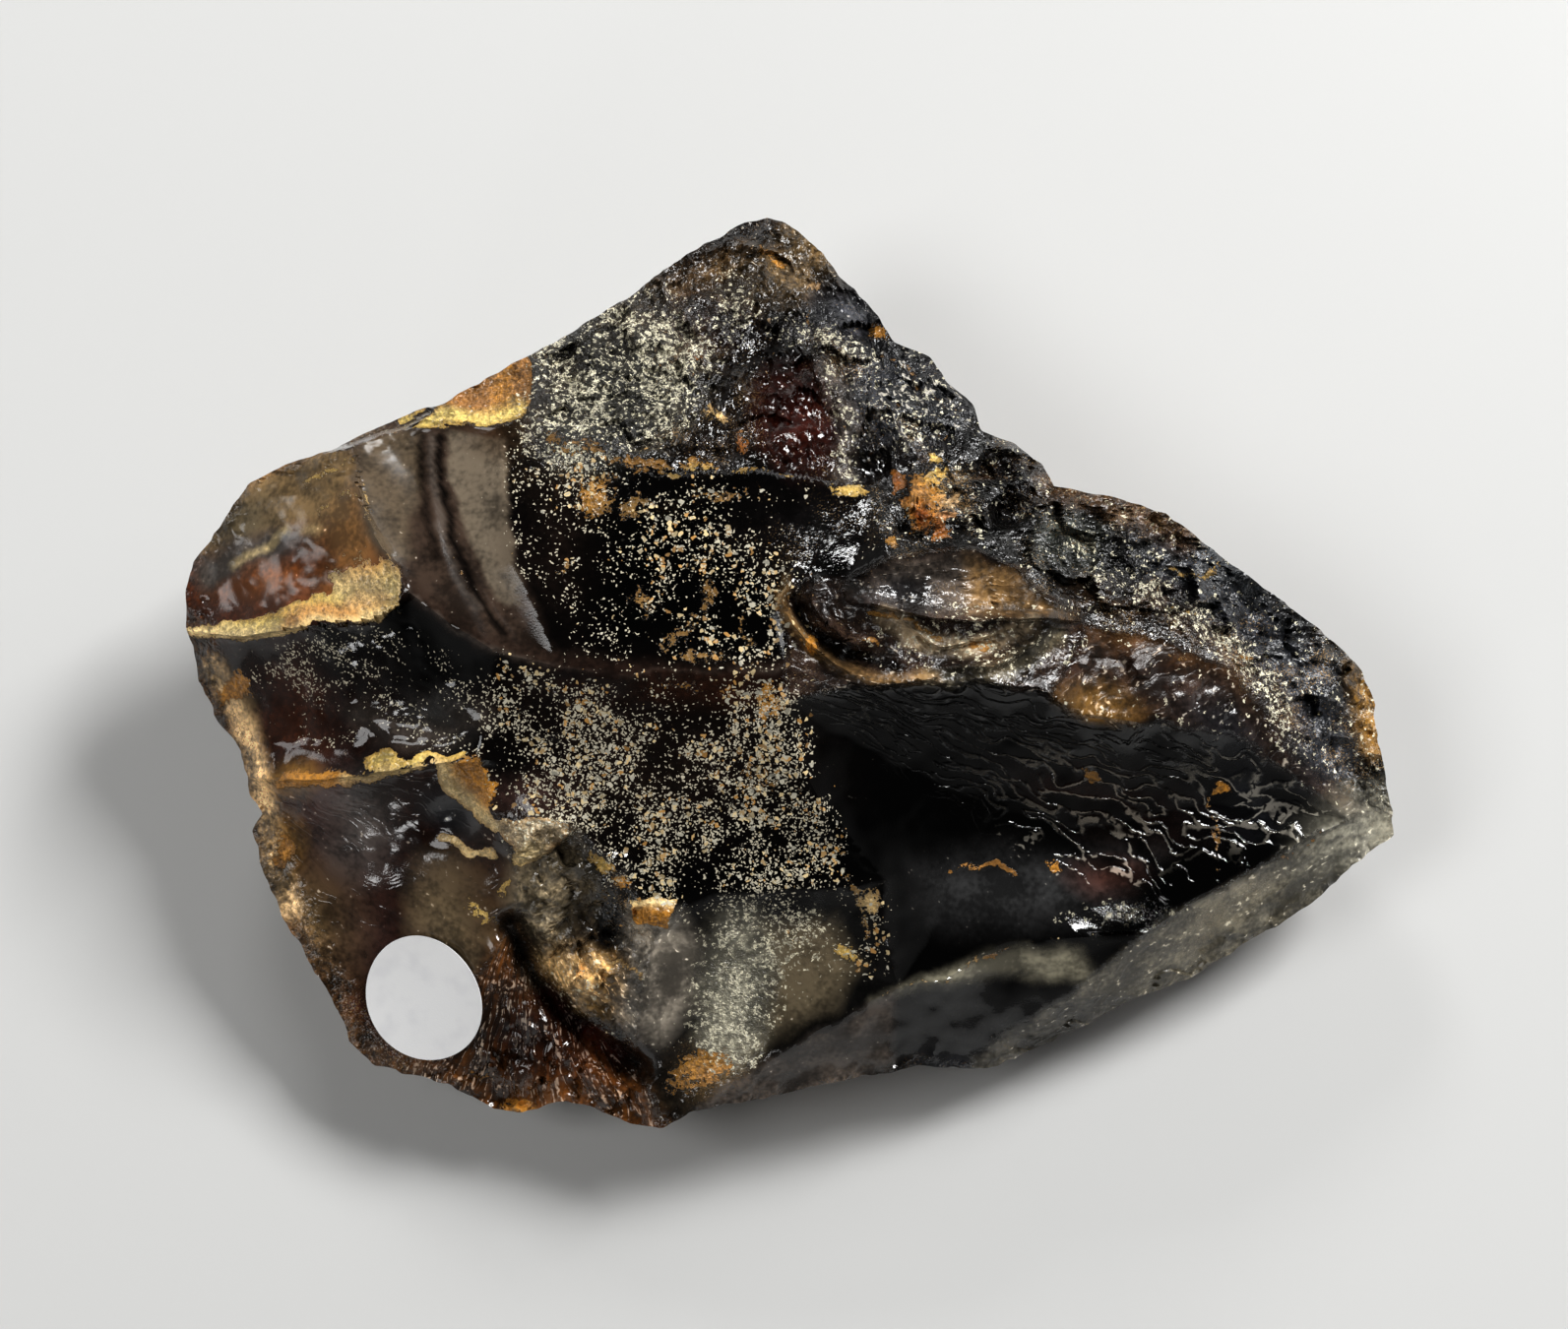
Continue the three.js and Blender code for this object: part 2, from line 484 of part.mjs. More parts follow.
// Every corner of a ring is given to the rim point whose direction is nearest to it.
function ringRound(ring, rim) {
  const points = rim.map(([u, v]) => ringPoint(ring, Math.atan2(v, u)));
  for (const corner of ring) {
    const turns = rim.map(([u, v]) => {
      const turn = Math.atan2(v, u) - Math.atan2(corner[1], corner[0]);
      return Math.abs(Math.atan2(Math.sin(turn), Math.cos(turn)));
    });
    points[turns.indexOf(Math.min(...turns))] = corner;
  }
  return points;
}

// Triangles between two rings of points that run the same way round.
function zip(outer, inner, index) {
  let a = 0;
  let b = 0;
  while (a < outer.length || b < inner.length) {
    const [here, there] = [outer[a % outer.length], inner[b % inner.length]];
    const stepOuter = b >= inner.length
      || (a < outer.length && (a + 1) / outer.length <= (b + 1) / inner.length);
    if (stepOuter) {
      a += 1;
      index.push(here, there, outer[a % outer.length]);
    } else {
      b += 1;
      index.push(here, there, inner[b % inner.length]);
    }
  }
}

// How far the wall is sunk between lumps of a size [across, in height]: from 0 to 1.
function hollowness(u, v, height, [across, high]) {
  return 0.5 - 0.5 * noise(u / across, v / across, height / high);
}

function buildStone() {
  const positions = [];
  const index = [];
  const add = (u, v, height) => {
    positions.push(...place(u, v, height).toArray());
    return positions.length / 3 - 1;
  };
  const outline = [...OUTLINE].reverse();
  const rimCount = 6 * TOP_RINGS;
  const rim = evenlyRound(outline, rimCount);

  // The top: ring k of a hexagonal disc holds 6k points, each ring a shrunken outline.
  const taken = [];
  const rimHeights = [];
  let inner = [add(0, 0, topHeight(0, 0))];
  for (let k = 1; k <= TOP_RINGS; k += 1) {
    const ring = [];
    for (let i = 0; i < 6 * k; i += 1) {
      const [ru, rv] = between(rim, (i * TOP_RINGS) / k);
      const spacing = Math.min(Math.hypot(ru, rv) / TOP_RINGS, WIDEST_TRIANGLE);
      const scaled = [(ru * k) / TOP_RINGS, (rv * k) / TOP_RINGS];
      const [u, v] = k < TOP_RINGS ? snapToRidge(...scaled, spacing, taken) : scaled;
      const height = topHeight(u, v);
      if (k === TOP_RINGS) rimHeights.push(height);
      ring.push(add(u, v, height));
    }
    for (let sector = 0; sector < 6; sector += 1) {
      for (let i = 0; i < k; i += 1) {
        const a = ring[sector * k + i];
        const b = ring[(sector * k + i + 1) % ring.length];
        const c = inner[(sector * (k - 1) + i) % inner.length];
        index.push(a, b, c);
        if (i < k - 1) index.push(b, inner[(sector * (k - 1) + i + 1) % inner.length], c);
      }
    }
    inner = ring;
  }

  // The walls: from the rim in to the belly, and on to the flat base.
  const belly = ringRound([...BELLY].reverse(), rim);
  const base = ringRound([...BASE].reverse().map(([u, v]) => [u, v, 0]), rim);
  const addWall = (from, to, firstSink) => {
    for (let step = 1; step <= WALL_RINGS; step += 1) {
      const share = step / WALL_RINGS;
      const sink = mix(firstSink, 1, share);
      const ring = from.map((point, i) => {
        const [u, v, height] = point.map((value, axis) => mix(value, to[i][axis], share));
        const lumps = WALL_LUMPS * hollowness(u, v, height, WALL_LUMP_SIZE);
        const grain = WALL_GRAIN * hollowness(u, v, height, WALL_GRAIN_SIZE);
        const inset = 1 - sink * (lumps + grain);
        return add(u * inset, v * inset, height);
      });
      zip(inner, ring, index);
      inner = ring;
    }
  };
  addWall(rim.map(([u, v], i) => [u, v, rimHeights[i]]), belly, 0);
  addWall(belly, base, 1);

  // The base: one flat face.
  const flat = inner.map((i) => new THREE.Vector2(positions[3 * i], positions[3 * i + 1]));
  for (const [a, b, c] of THREE.ShapeUtils.triangulateShape(flat, [])) {
    index.push(inner[a], inner[c], inner[b]);
  }
  return closedGeometry(positions, index);
}

function closedGeometry(positions, index) {
  const geometry = new THREE.BufferGeometry();
  geometry.setAttribute('position', new THREE.Float32BufferAttribute(positions, 3));
  geometry.setIndex(index);
  geometry.computeVertexNormals();
  return geometry;
}

// ---- the sticker -----------------------------------------------------------------------------

// The point of the top straight below a plan point, and the direction that the stone faces there.
const topPoint = (u, v) => place(u, v, topHeight(u, v));

function topNormal(u, v, span) {
  const across = topPoint(u + span, v).sub(topPoint(u - span, v));
  const along = topPoint(u, v + span).sub(topPoint(u, v - span));
  return across.cross(along).normalize();
}

// The plan point that a point of space leans back to.
function planOf(point) {
  const rise = point.z - PLAN_HEIGHT;
  const share = 1 - rise * TAPER;
  return [
    TAPER_AXIS[0] + (point.x - TAPER_AXIS[0]) / share,
    TAPER_AXIS[1] + (point.y + rise * FORWARD_LEAN - TAPER_AXIS[1]) / share,
  ];
}

function buildSticker() {
  const normal = topNormal(...STICKER_CENTRE, STICKER_RADIUS / 2);
  const centre = topPoint(...STICKER_CENTRE);
  const across = new THREE.Vector3(0, 1, 0).cross(normal).normalize();
  const along = normal.clone().cross(across);
  const positions = [];
  const index = [];
  const sheet = (lift) => {
    const first = positions.length / 3;
    for (let ring = 0; ring <= STICKER_RINGS; ring += 1) {
      const count = ring === 0 ? 1 : STICKER_SECTORS;
      for (let i = 0; i < count; i += 1) {
        const turn = (2 * Math.PI * i) / STICKER_SECTORS;
        const radius = (STICKER_RADIUS * ring) / STICKER_RINGS;
        const flat = centre.clone().addScaledVector(across, radius * Math.cos(turn))
          .addScaledVector(along, radius * Math.sin(turn));
        positions.push(...topPoint(...planOf(flat)).addScaledVector(normal, lift).toArray());
      }
    }
    return first;
  };
  const pointOf = (first, ring, i) => (ring === 0 ? first
    : first + 1 + (ring - 1) * STICKER_SECTORS + (i % STICKER_SECTORS));
  const under = sheet(STICKER_GAP);
  const over = sheet(STICKER_GAP + STICKER_THICKNESS);
  for (let i = 0; i < STICKER_SECTORS; i += 1) {
    for (let ring = 0; ring < STICKER_RINGS; ring += 1) {
      for (const [first, upwards] of [[over, true], [under, false]]) {
        const a = pointOf(first, ring, i);
        const b = pointOf(first, ring + 1, i);
        const c = pointOf(first, ring + 1, i + 1);
        const d = pointOf(first, ring, i + 1);
        index.push(...(upwards ? [a, b, c] : [a, c, b]));
        if (ring > 0) index.push(...(upwards ? [a, c, d] : [a, d, c]));
      }
    }
    const [a, b] = [pointOf(under, STICKER_RINGS, i), pointOf(under, STICKER_RINGS, i + 1)];
    const [c, d] = [pointOf(over, STICKER_RINGS, i), pointOf(over, STICKER_RINGS, i + 1)];
    index.push(a, b, d, a, d, c);
  }
  return closedGeometry(positions, index);
}

// ---- the part --------------------------------------------------------------------------------

const amber = new THREE.Mesh(
  buildStone(),
  new THREE.MeshStandardMaterial({ color: 0x2a1209, roughness: 0.12, metalness: 0 }),
);
amber.name = 'amber';

const sticker = new THREE.Mesh(
  buildSticker(),
  new THREE.MeshStandardMaterial({ color: 0xf2f2f0, roughness: 0.7, metalness: 0 }),
);
sticker.name = 'sticker';

// The origin is under the middle of the whole lump.
const box = new THREE.Box3().setFromObject(amber);
const middle = box.getCenter(new THREE.Vector3());
const group = new THREE.Group();
group.add(amber, sticker);
group.position.set(-middle.x, -middle.y, 0);

export default group;
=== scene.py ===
"""A raw lump of blue amber with a round paper sticker, dressed for rendering.

The stone is drawn in a plan, in millimetres, as the CAD part is: chains of ridge points, each
[across, back, height], bound the flake scars of the top, and every scar is a sheet stretched
between its ridges and hollowed in the middle.  The same plan, evaluated on a much finer mesh and
with the finer relief added, makes the visible stone.  Colours and weights painted on the plan say
where the resin glows, where it is flecked, crusted or orange, and where it splinters.  Some of
these colours are painted reflections, highlights, glints and shade on smooth faces and ridges.
"""
import math
from collections import namedtuple

import bpy
import numpy as np
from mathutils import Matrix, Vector


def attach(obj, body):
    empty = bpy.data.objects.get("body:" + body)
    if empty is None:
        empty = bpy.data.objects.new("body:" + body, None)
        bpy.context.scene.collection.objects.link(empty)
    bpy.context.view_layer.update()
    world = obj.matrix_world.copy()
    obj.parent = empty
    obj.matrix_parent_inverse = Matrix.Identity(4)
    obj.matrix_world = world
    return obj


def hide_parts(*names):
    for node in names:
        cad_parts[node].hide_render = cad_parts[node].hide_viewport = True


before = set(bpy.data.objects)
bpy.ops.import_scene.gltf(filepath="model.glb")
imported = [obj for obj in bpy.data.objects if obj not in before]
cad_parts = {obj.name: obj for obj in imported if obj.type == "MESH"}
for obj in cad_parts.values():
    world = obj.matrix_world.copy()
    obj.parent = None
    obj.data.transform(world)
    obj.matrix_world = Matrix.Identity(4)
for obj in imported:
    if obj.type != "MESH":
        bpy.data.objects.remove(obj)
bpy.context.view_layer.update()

# ---- driving sizes, in millimetres of the plan -----------------------------------------------

MM = 0.001                       # the scene is in metres
PLAN_HEIGHT = 20.0               # the plan is drawn at this height
FORWARD_LEAN = 0.2126            # the lump leans to the front by this much for each rise
TAPER = 1 / 352.1                # and narrows by this share for each millimetre of rise
TAPER_AXIS = (-0.7, 0.77)
PLAN_SHIFT = (-0.0244, -1.2523)  # from the plan's middle to the middle of the lump
CAMERA_ELEVATION = math.radians(78)

TOP_RINGS = 138                  # rings of triangles from the middle of the top to its rim
WALL_RINGS = 11                  # rings from the rim to the belly, and from there to the base
POINT_SPACING = 0.38             # the most that the points of the top lie apart
SNAP_SHARE = 0.42                # points this near a ridge, in spacings, move onto it
SHARP_EDGE = math.radians(38)    # edges that turn by more than this are shaded sharp

WALL_LUMPS = 0.06                # shares of the distance out by which the walls sink in
WALL_GRAIN = 0.025
RIM_CHIPS = 0.006                # the rim is nibbled by this share of its distance out
NIBBLE_WIDTHS = (2.4, 0.9)
SNAP_CELL = 0.45                 # of the points that would land in one cell of this many spacings
                                 # only one moves
LEDGE_FADE, CLEFT_FADE = 3, 2    # ledges and clefts fade out this near their ends
SMOOTH_UP_TO = 0.1               # a scar with less than this roughness has no fine breaks
RIDGE_WOBBLE = 0.35              # the ridges wander by up to this
CRUST_GRAIN = 5.5                # the width of the lumps of a crust
CRUST_RIM = 5.0                  # the rim is rough for this far in
CRUST_RIM_ROUGH = 0.5            # and by this share of a crust
FIRST_CRUST = 2.5                # a crust takes this long to rise from its ridges

STICKER_CENTRE = (-36.4, -33.1)
STICKER_RADIUS = 6.5
STICKER_THICKNESS = 0.12
STICKER_GAP = 0.03
STICKER_CALM = 10                # there is no crust this near the sticker's middle
CALM_FADE = 3

WOBBLE_WIDTHS = (3.1, 1.3)       # wide and narrow bumps of the ridges
TEAR_WIDTHS = (2.3, 0.85)        # and of the edges of painted areas
MOTTLE_WIDTHS = (4.2, 1.7)
LAYER_TEAR = 0.45                # painted edges wander by up to this
PATCH_TEAR = 0.7
RIND_FACING = 0.32               # slopes that face the camera by less than this bear rind
RIND_FADE = 0.14

Scar = namedtuple("Scar", "name hollow reach rough ridge")
Ledge = namedtuple("Ledge", "rise reach line")
Cleft = namedtuple("Cleft", "depth width line")
Dimple = namedtuple("Dimple", "centre radii turn depth")

# ---- outline of the lump in the plan, clockwise from its left end ----------------------------

OUTLINE = [
  [-62.3, 8.6], [-61.5, 11.6], [-59.7, 14.2], [-56.1, 19.9], [-51.3, 22.4], [-47.6, 23.3],
  [-45.4, 24.8], [-39.8, 27.4], [-36.3, 28.4], [-32, 31.1], [-27, 33.8], [-20.1, 38],
  [-16.5, 40.4], [-13.8, 42.6], [-10, 45.2], [-5.5, 47.8], [-2.4, 48.8], [0, 47.9],
  [3.3, 44.9], [5.1, 42.2], [6.8, 41], [9.2, 37.7], [10.7, 35.1], [14.5, 33.5],
  [16.2, 30.8], [18.9, 28.6], [19.7, 25.6], [22.9, 24.3], [26.1, 21.9], [27.2, 19.6],
  [33.1, 18.5], [38.8, 16.7], [41.4, 14.3], [49.8, 7.9], [56.6, 2.3], [58.3, 0.2],
  [59.5, -3.4], [60.2, -8.9], [61, -16.9], [56.8, -20], [52.2, -23.9], [49.1, -26],
  [44.6, -28.4], [40.1, -31.3], [34.1, -33.7], [26.8, -37.2], [21.8, -39.8], [19.4, -40.5],
  [13, -40.1], [7.1, -41.2], [0, -42.8], [-5.1, -43.8], [-10, -44.8], [-12.9, -46.3],
  [-16.1, -46], [-19.9, -44.2], [-22.4, -43.6], [-26.9, -44.8], [-29.8, -44.4], [-33.7, -42.3],
  [-36.6, -41.3], [-41.7, -40.1], [-44.2, -37.5], [-44.8, -35.4], [-47.9, -30.7], [-51.2, -25.1],
  [-53.7, -19.4], [-54.4, -16.3], [-53.3, -14.5], [-55.1, -12.7], [-55.4, -9.2], [-57.7, -5.9],
  [-60.5, -0.9], [-61.8, 5.1],
]

# ---- ridges, as chains of [across, back, height] ---------------------------------------------

# The crest runs from the corner of the slab to the whorl, along the front of the crown.
CREST = [
  [-39.3, 8.6, 34.3], [-34.8, 5.1, 34.7], [-29.8, 2, 34.8], [-23.3, 0.5, 34.7],
  [-16.4, -0.3, 34.7], [-8, 0, 34.6], [-0.5, 0.2, 34.5],
]
# The slab is the glossy plate at the left end: its foot from right to left, its side downwards.
SLAB_FOOT = [
  [-42.3, 5.6, 33], [-45.3, 5.1, 31.8], [-50.2, 4.6, 29], [-55.8, 3.8, 25], [-64, 3.5, 17.5],
]
SLAB_SIDE = [[-46.5, 26, 29.5], [-44.6, 20.5, 32.6], [-43.4, 16, 33.6], [-41, 11.8, 34.1]]
# The band is the smooth strip between the slab and the crown.
BAND_SIDE = [[-30, 26, 32.4], [-29.3, 18, 33.6], [-28.2, 11.5, 34.2], [-25.6, 6, 34.5]]
BAND_TOP = [-38.8, 26.6, 30.8]
WINDOW_SIDE = [-26.8, 27, 32.2]
# The seam divides the crown from the rough shoulder behind it.
SEAM = [[-22, 23.5, 32.9], [-13.8, 20.5, 33.1], [-3, 21.3, 32.9], [7.7, 19.5, 32.5]]
PIT_EDGE = [18, 23, 30.6]
WHORL_BACK = [
  [-1, 7.4, 34.8], [1.5, 9.8, 35], [5.8, 9.6, 35.6], [10.4, 12, 35.9], [14, 12.9, 35.6],
  [18.9, 13, 34.8], [23.6, 10.5, 33.8], [25.7, 7.7, 33.2], [30.2, 4.9, 31.2],
]
FIBRE_BACK = [[38.3, 3.4, 28.8], [45, 0, 25.6], [50.5, -7.5, 21.6], [57, -13, 16.6]]
# The scoop is the large dark hollow at the right: top from left to right, left side downwards.
SCOOP_TOP = [
  [-0.5, -3, 33.6], [3.5, -2, 34.1], [7.6, -1.5, 34.2], [14.5, -1, 33.8], [20.6, -0.8, 33],
  [26.2, -2.7, 31.3], [30, -4.8, 29.6], [35.7, -5.4, 27.6], [44.5, -6, 24.3], [50, -10, 20.6],
  [56.3, -15.2, 16.6],
]
SCOOP_LEFT = [
  [-0.2, -7.5, 32], [2, -11.6, 30.4], [3.2, -14, 29.4], [6.6, -18, 27.6], [9.2, -21.5, 25.8],
  [8.9, -25, 24], [10.7, -32.2, 20.2],
]
SCOOP_FOOT = [
  [15.5, -31.6, 19.6], [18.5, -29, 19.4], [21.4, -27.8, 19.2], [25.2, -27.2, 19],
  [29.6, -27.3, 18.9],
]
# The spur is the sharp edge above the flat side face, from the right end to the front.
SPUR_TIP = [59.5, -14.1, 14.4]
SPUR = [[50.9, -17.6, 17.4], [46.3, -20.3, 18.1], [41.8, -22.7, 18.5], [38.8, -24.5, 18.6]]
SPUR_FORK = [35.2, -26.9, 18.6]
SPUR_FRONT = [
  [32.8, -29, 17.4], [29.2, -31.6, 15.4], [26.2, -33.7, 13.6], [20.8, -36.9, 10.8],
  [17.8, -38.7, 9.4],
]
# The lip is the front edge of the pale dish.
LIP = [[-12, -46, 12], [-7.4, -42.3, 14.4], [-1.8, -39, 16.6], [5.6, -34.9, 18.9]]
DISH_BACK = [[-8, -22.8, 25.4], [0, -22.2, 26], [6, -22, 26.1]]
DISH_CORNER = [-13, -25.5, 23.7]
DISH_LEFT = [[-14.6, -30, 21.4], [-15, -34, 18.8]]
CRACK_FOOT = [-15.7, -39.6, 14.8]
CHIP_CORNER = [-30, -14.5, 27.6]
CHIP_BACK = [[-21.5, -15.5, 27.7], [-16.3, -21, 25.9]]
CHIP_LEFT = [[-27.8, -18.6, 25.2], [-27.5, -23, 23]]
CRACK_TOP = [-28, -26, 21.2]
CRACK = [[-25.3, -31.4, 18], [-22.1, -34.6, 16.4], [-18.4, -37.5, 15.2]]
FLANK_SIDE = [[-31, -4, 31.7], [-31.5, -9, 29.6]]
LEDGE = [[-35.2, -9.5, 28.4], [-42.3, -10.4, 26.4], [-49.1, -11.3, 22.8]]
LEDGE_RIM = [-57.5, -10.5, 15.5]
HOLLOW_FOOT = [[-32, -32, 17.2], [-36.5, -38, 12.4]]
HOLLOW_RIM = [-42, -43, 8]

# Rim points lie just outside the outline, clockwise from the left end.
RIM_LEFT = [[-65, 7, 17.5], [-58, 22, 22.5]]
RIM_WINDOW = [[-37.5, 31, 28], [-27, 37, 26.8]]
RIM_BACK = [[-21, 41, 26], [-12, 47, 23.5], [-2.4, 52, 20.5], [9, 42.5, 22.5]]
RIM_NOTCH = [20, 32, 25.5]
RIM_RIGHT = [[27, 23.5, 26.5], [40, 19, 24.5], [56, 7, 19], [62.5, -4, 15]]
RIM_TIP = [65, -17.5, 11]
RIM_SIDE = [[51, -29, 6], [34, -36.5, 5]]
RIM_SPUR = [19, -43.5, 5]
RIM_FACET = [9.5, -44, 8]
RIM_BEVEL = [-2, -47, 8.5]
RIM_FRONT = [-13, -49.5, 8.5]
RIM_FOOT = [-28, -48, 7.5]
RIM_HOLLOW = [[-50.5, -32, 12], [-57, -20, 14.5]]
RIM_FLANK = [-64, -1, 16]

# Each scar: its ridges in order, how deep its middle is hollowed, how far from the ridges the
# hollow takes to form, and how rough its surface is.
SCARS = [
    Scar("slab", -1.2, 7, 0.15, [*RIM_LEFT, *SLAB_SIDE, CREST[0], *SLAB_FOOT]),
    Scar("band", 1.1, 4, 0, [RIM_WINDOW[0], BAND_TOP, *BAND_SIDE, *CREST[0:4][::-1],
         *SLAB_SIDE[::-1]]),
    Scar("window", 0.3, 2, 0.3, [BAND_TOP, *RIM_WINDOW, WINDOW_SIDE, BAND_SIDE[0]]),
    Scar("crown", 0.7, 5, 0.1, [*BAND_SIDE[::-1], WINDOW_SIDE, *SEAM, *WHORL_BACK[0:4][::-1],
         *CREST[3:][::-1]]),
    Scar("shoulder", -1.2, 6, 0.8, [WINDOW_SIDE, RIM_WINDOW[1], *RIM_BACK, RIM_NOTCH, PIT_EDGE,
         *SEAM[::-1]]),
    Scar("right crust", -1, 5, 1, [SEAM[3], PIT_EDGE, RIM_NOTCH, *RIM_RIGHT, RIM_TIP, SPUR_TIP,
         *FIBRE_BACK[::-1], *WHORL_BACK[3:][::-1]]),
    Scar("whorl", 0.6, 3, 0.35, [*WHORL_BACK, *SCOOP_TOP[0:6][::-1], CREST[6]]),
    Scar("fibrous", -0.4, 3, 0.5, [WHORL_BACK[8], *FIBRE_BACK, SPUR_TIP, *SCOOP_TOP[5:][::-1]]),
    Scar("scoop", 5.2, 9, 0.1, [*SCOOP_TOP, *SPUR, SPUR_FORK, *SCOOP_FOOT[::-1],
         *SCOOP_LEFT[::-1]]),
    Scar("facet", 0.4, 3, 0.15, [SCOOP_LEFT[6], *SCOOP_FOOT, SPUR_FORK, *SPUR_FRONT, RIM_SPUR,
         RIM_FACET]),
    Scar("side", 0, 3, 0.2, [SPUR_TIP, SCOOP_TOP[10], *SPUR, SPUR_FORK, *SPUR_FRONT, RIM_SPUR,
         *RIM_SIDE[::-1], RIM_TIP]),
    Scar("bevel", 0.3, 3, 0.15, [*LIP, SCOOP_LEFT[6], RIM_FACET, RIM_BEVEL, RIM_FRONT]),
    Scar("dish", 1.7, 5, 0, [DISH_CORNER, *DISH_BACK, *SCOOP_LEFT[4:], *LIP[::-1], CRACK_FOOT,
         *DISH_LEFT[::-1]]),
    Scar("speckled", 0.9, 6, 0.15, [*CREST[2:], SCOOP_TOP[0], *SCOOP_LEFT[0:5], *DISH_BACK[::-1],
         DISH_CORNER, *CHIP_BACK[::-1], CHIP_CORNER, *FLANK_SIDE[::-1]]),
    Scar("flank", 0.8, 4, 0.2, [*CREST[0:3], *FLANK_SIDE, *LEDGE, LEDGE_RIM, RIM_FLANK,
         *SLAB_FOOT[::-1]]),
    Scar("hollow", 1.9, 5, 0.1, [FLANK_SIDE[1], CHIP_CORNER, *CHIP_LEFT, CRACK_TOP, *HOLLOW_FOOT,
         HOLLOW_RIM, *RIM_HOLLOW, LEDGE_RIM, *LEDGE[::-1]]),
    Scar("chips", 0.3, 2, 0.9, [CHIP_CORNER, *CHIP_BACK, DISH_CORNER, *DISH_LEFT, CRACK_FOOT,
         *CRACK[::-1], CRACK_TOP, *CHIP_LEFT[::-1]]),
    Scar("foot", 0.2, 2, 0.8, [CRACK_TOP, *CRACK, CRACK_FOOT, LIP[0], RIM_FRONT, RIM_FOOT,
         HOLLOW_RIM, *HOLLOW_FOOT[::-1]]),
]

# Ledges: the stone steps up on the left of each line, as it is walked, and falls back to its
# old level over the reach.
LEDGES = [
    # the slab edge
    Ledge(1.8, 7, [[-66, 4.5], [-55.8, 3.8], [-50.2, 4.6], [-45.3, 5.1], [-42.3, 5.6], [-40, 6.8],
          [-39.3, 8.7], [-41, 11.8], [-43.4, 16], [-44.6, 20], [-45.4, 27]]),
    # the low step behind the band
    Ledge(-9, 90, [[-53, 23.4], [-47.6, 23.5], [-45.2, 24], [-42.3, 25.3], [-39.7, 25.9],
          [-37.4, 27.6], [-33, 33]]),
    # the outer curl of the whorl
    Ledge(1.5, 1.6, [[0.5, 11], [-0.5, 9.3], [-0.9, 7.4], [0, 5], [1.3, 3.1], [3.1, 1.9],
          [5.2, 0.4], [7.6, -1.2]]),
    # the inner curl of the whorl
    Ledge(1.7, 1.6, [[3.6, 10.6], [2.5, 9.9], [1.9, 8], [3.7, 5], [5.5, 3.4], [7.4, 2.6]]),
    # the back of the lens
    Ledge(1.6, 5, [[29.6, 5.8], [25.7, 7.9], [23.6, 10.5], [18.9, 12.8], [14, 12.7], [10.4, 11.8],
          [5.8, 9.3], [4, 8]]),
    # the front of the lens
    Ledge(2, 5, [[5.6, 7.7], [10.4, 6.5], [14.6, 5.6], [19.4, 5.3], [26, 5.6], [30, 5.2]]),
    # the middle leaf of the whorl
    Ledge(1, 2, [[9.5, 6.2], [12.2, 4.7], [14.9, 2.8], [17.4, 2.8], [20.1, 3.7], [22.8, 5]]),
    # the lower leaf of the whorl
    Ledge(1, 2.4, [[15, 0.2], [17.3, 0.4], [20.6, 0.7], [23.6, 2.2], [25.5, 4.1], [27.3, 5.3]]),
    # the brow over the scoop
    Ledge(1.5, 3, [[4.5, -1.2], [7.6, -1.5], [14.5, -0.8], [16.9, -1.8], [18.8, -0.6],
          [24.8, -1.6], [28.6, -3.6]]),
    # the chip on the flank
    Ledge(1.3, 3, [[-30.2, -17.4], [-27.8, -18.6], [-26, -19.2], [-22.4, -17], [-21, -14.6]]),
    # the lip of the left hollow
    Ledge(1.2, 3, [[-56, -11], [-49.1, -11.3], [-42.3, -10.4], [-35.2, -9.6], [-29, -9.4]]),
    # the block beside the crack
    Ledge(1.5, 3, [[-26.2, -30], [-21, -35], [-16.2, -38.8]]),
]

# Clefts: narrow valleys along a line.
CLEFTS = [
    Cleft(3.6, 1.5, [[-28.6, -24], [-26.8, -28.6], [-24, -33], [-20.6, -36.4], [-16.2, -39.9],
          [-14, -42]]),
    Cleft(1.5, 1, [[0.6, 9.2], [0.4, 7.2], [1.6, 4.8], [3.4, 3], [6.2, 1.6], [10, 1.2]]),
    Cleft(1.8, 1.3, [[5.6, 23.4], [8.3, 20.6], [10.6, 23.6]]),
]

# Dimples have a sharp round rim; a negative depth makes a knob.
DIMPLES = [
    Dimple([-37.4, -6.3], [6.2, 2.6], -0.12, 0.8),
    Dimple([-33.9, -15], [3.6, 2.8], 0.6, 1.1),
    Dimple([21.3, 21.4], [2.6, 2.1], 0.3, 3),
    Dimple([22.3, 16.8], [2.3, 2], 0, 2.4),
    Dimple([-13.2, -25], [2.6, 1.9], 0.3, -1),
    Dimple([-18, -20.6], [3, 1.5], 0.8, -0.9),
    Dimple([-16.8, -27.6], [3.6, 3.2], 0, 1.5),
    Dimple([14, 17.8], [3.6, 3.2], 0.4, -1),
    Dimple([33, -24.6], [5.2, 2.6], 0.2, 0.9),
]

# ---- underside: the belly is where the walls turn in, and the base is the flat fracture ------

BELLY = [
  [-56, 5, 9], [-43, 18.5, 15], [-18, 34, 14], [-2.5, 42, 11], [13, 27, 14], [24, 16.5, 15],
  [44, 8, 12], [54, -5, 8], [56, -16, 5.5], [39, -26.5, 3], [17, -36, 3], [-8, -40, 4.5],
  [-28, -39, 4], [-42, -31, 6], [-51, -12, 8.5],
]
BASE = [
  [-43, -4], [-36, 10], [-14, 23], [2, 24], [24, 7], [43, -3], [44, -13], [28, -24],
  [2, -31], [-24, -29], [-37, -19],
]


# ---- plan geometry ---------------------------------------------------------------------------


def mix(a, b, t):
    return a * (1 - t) + b * t


def clamp(value):
    return np.clip(value, 0.0, 1.0)


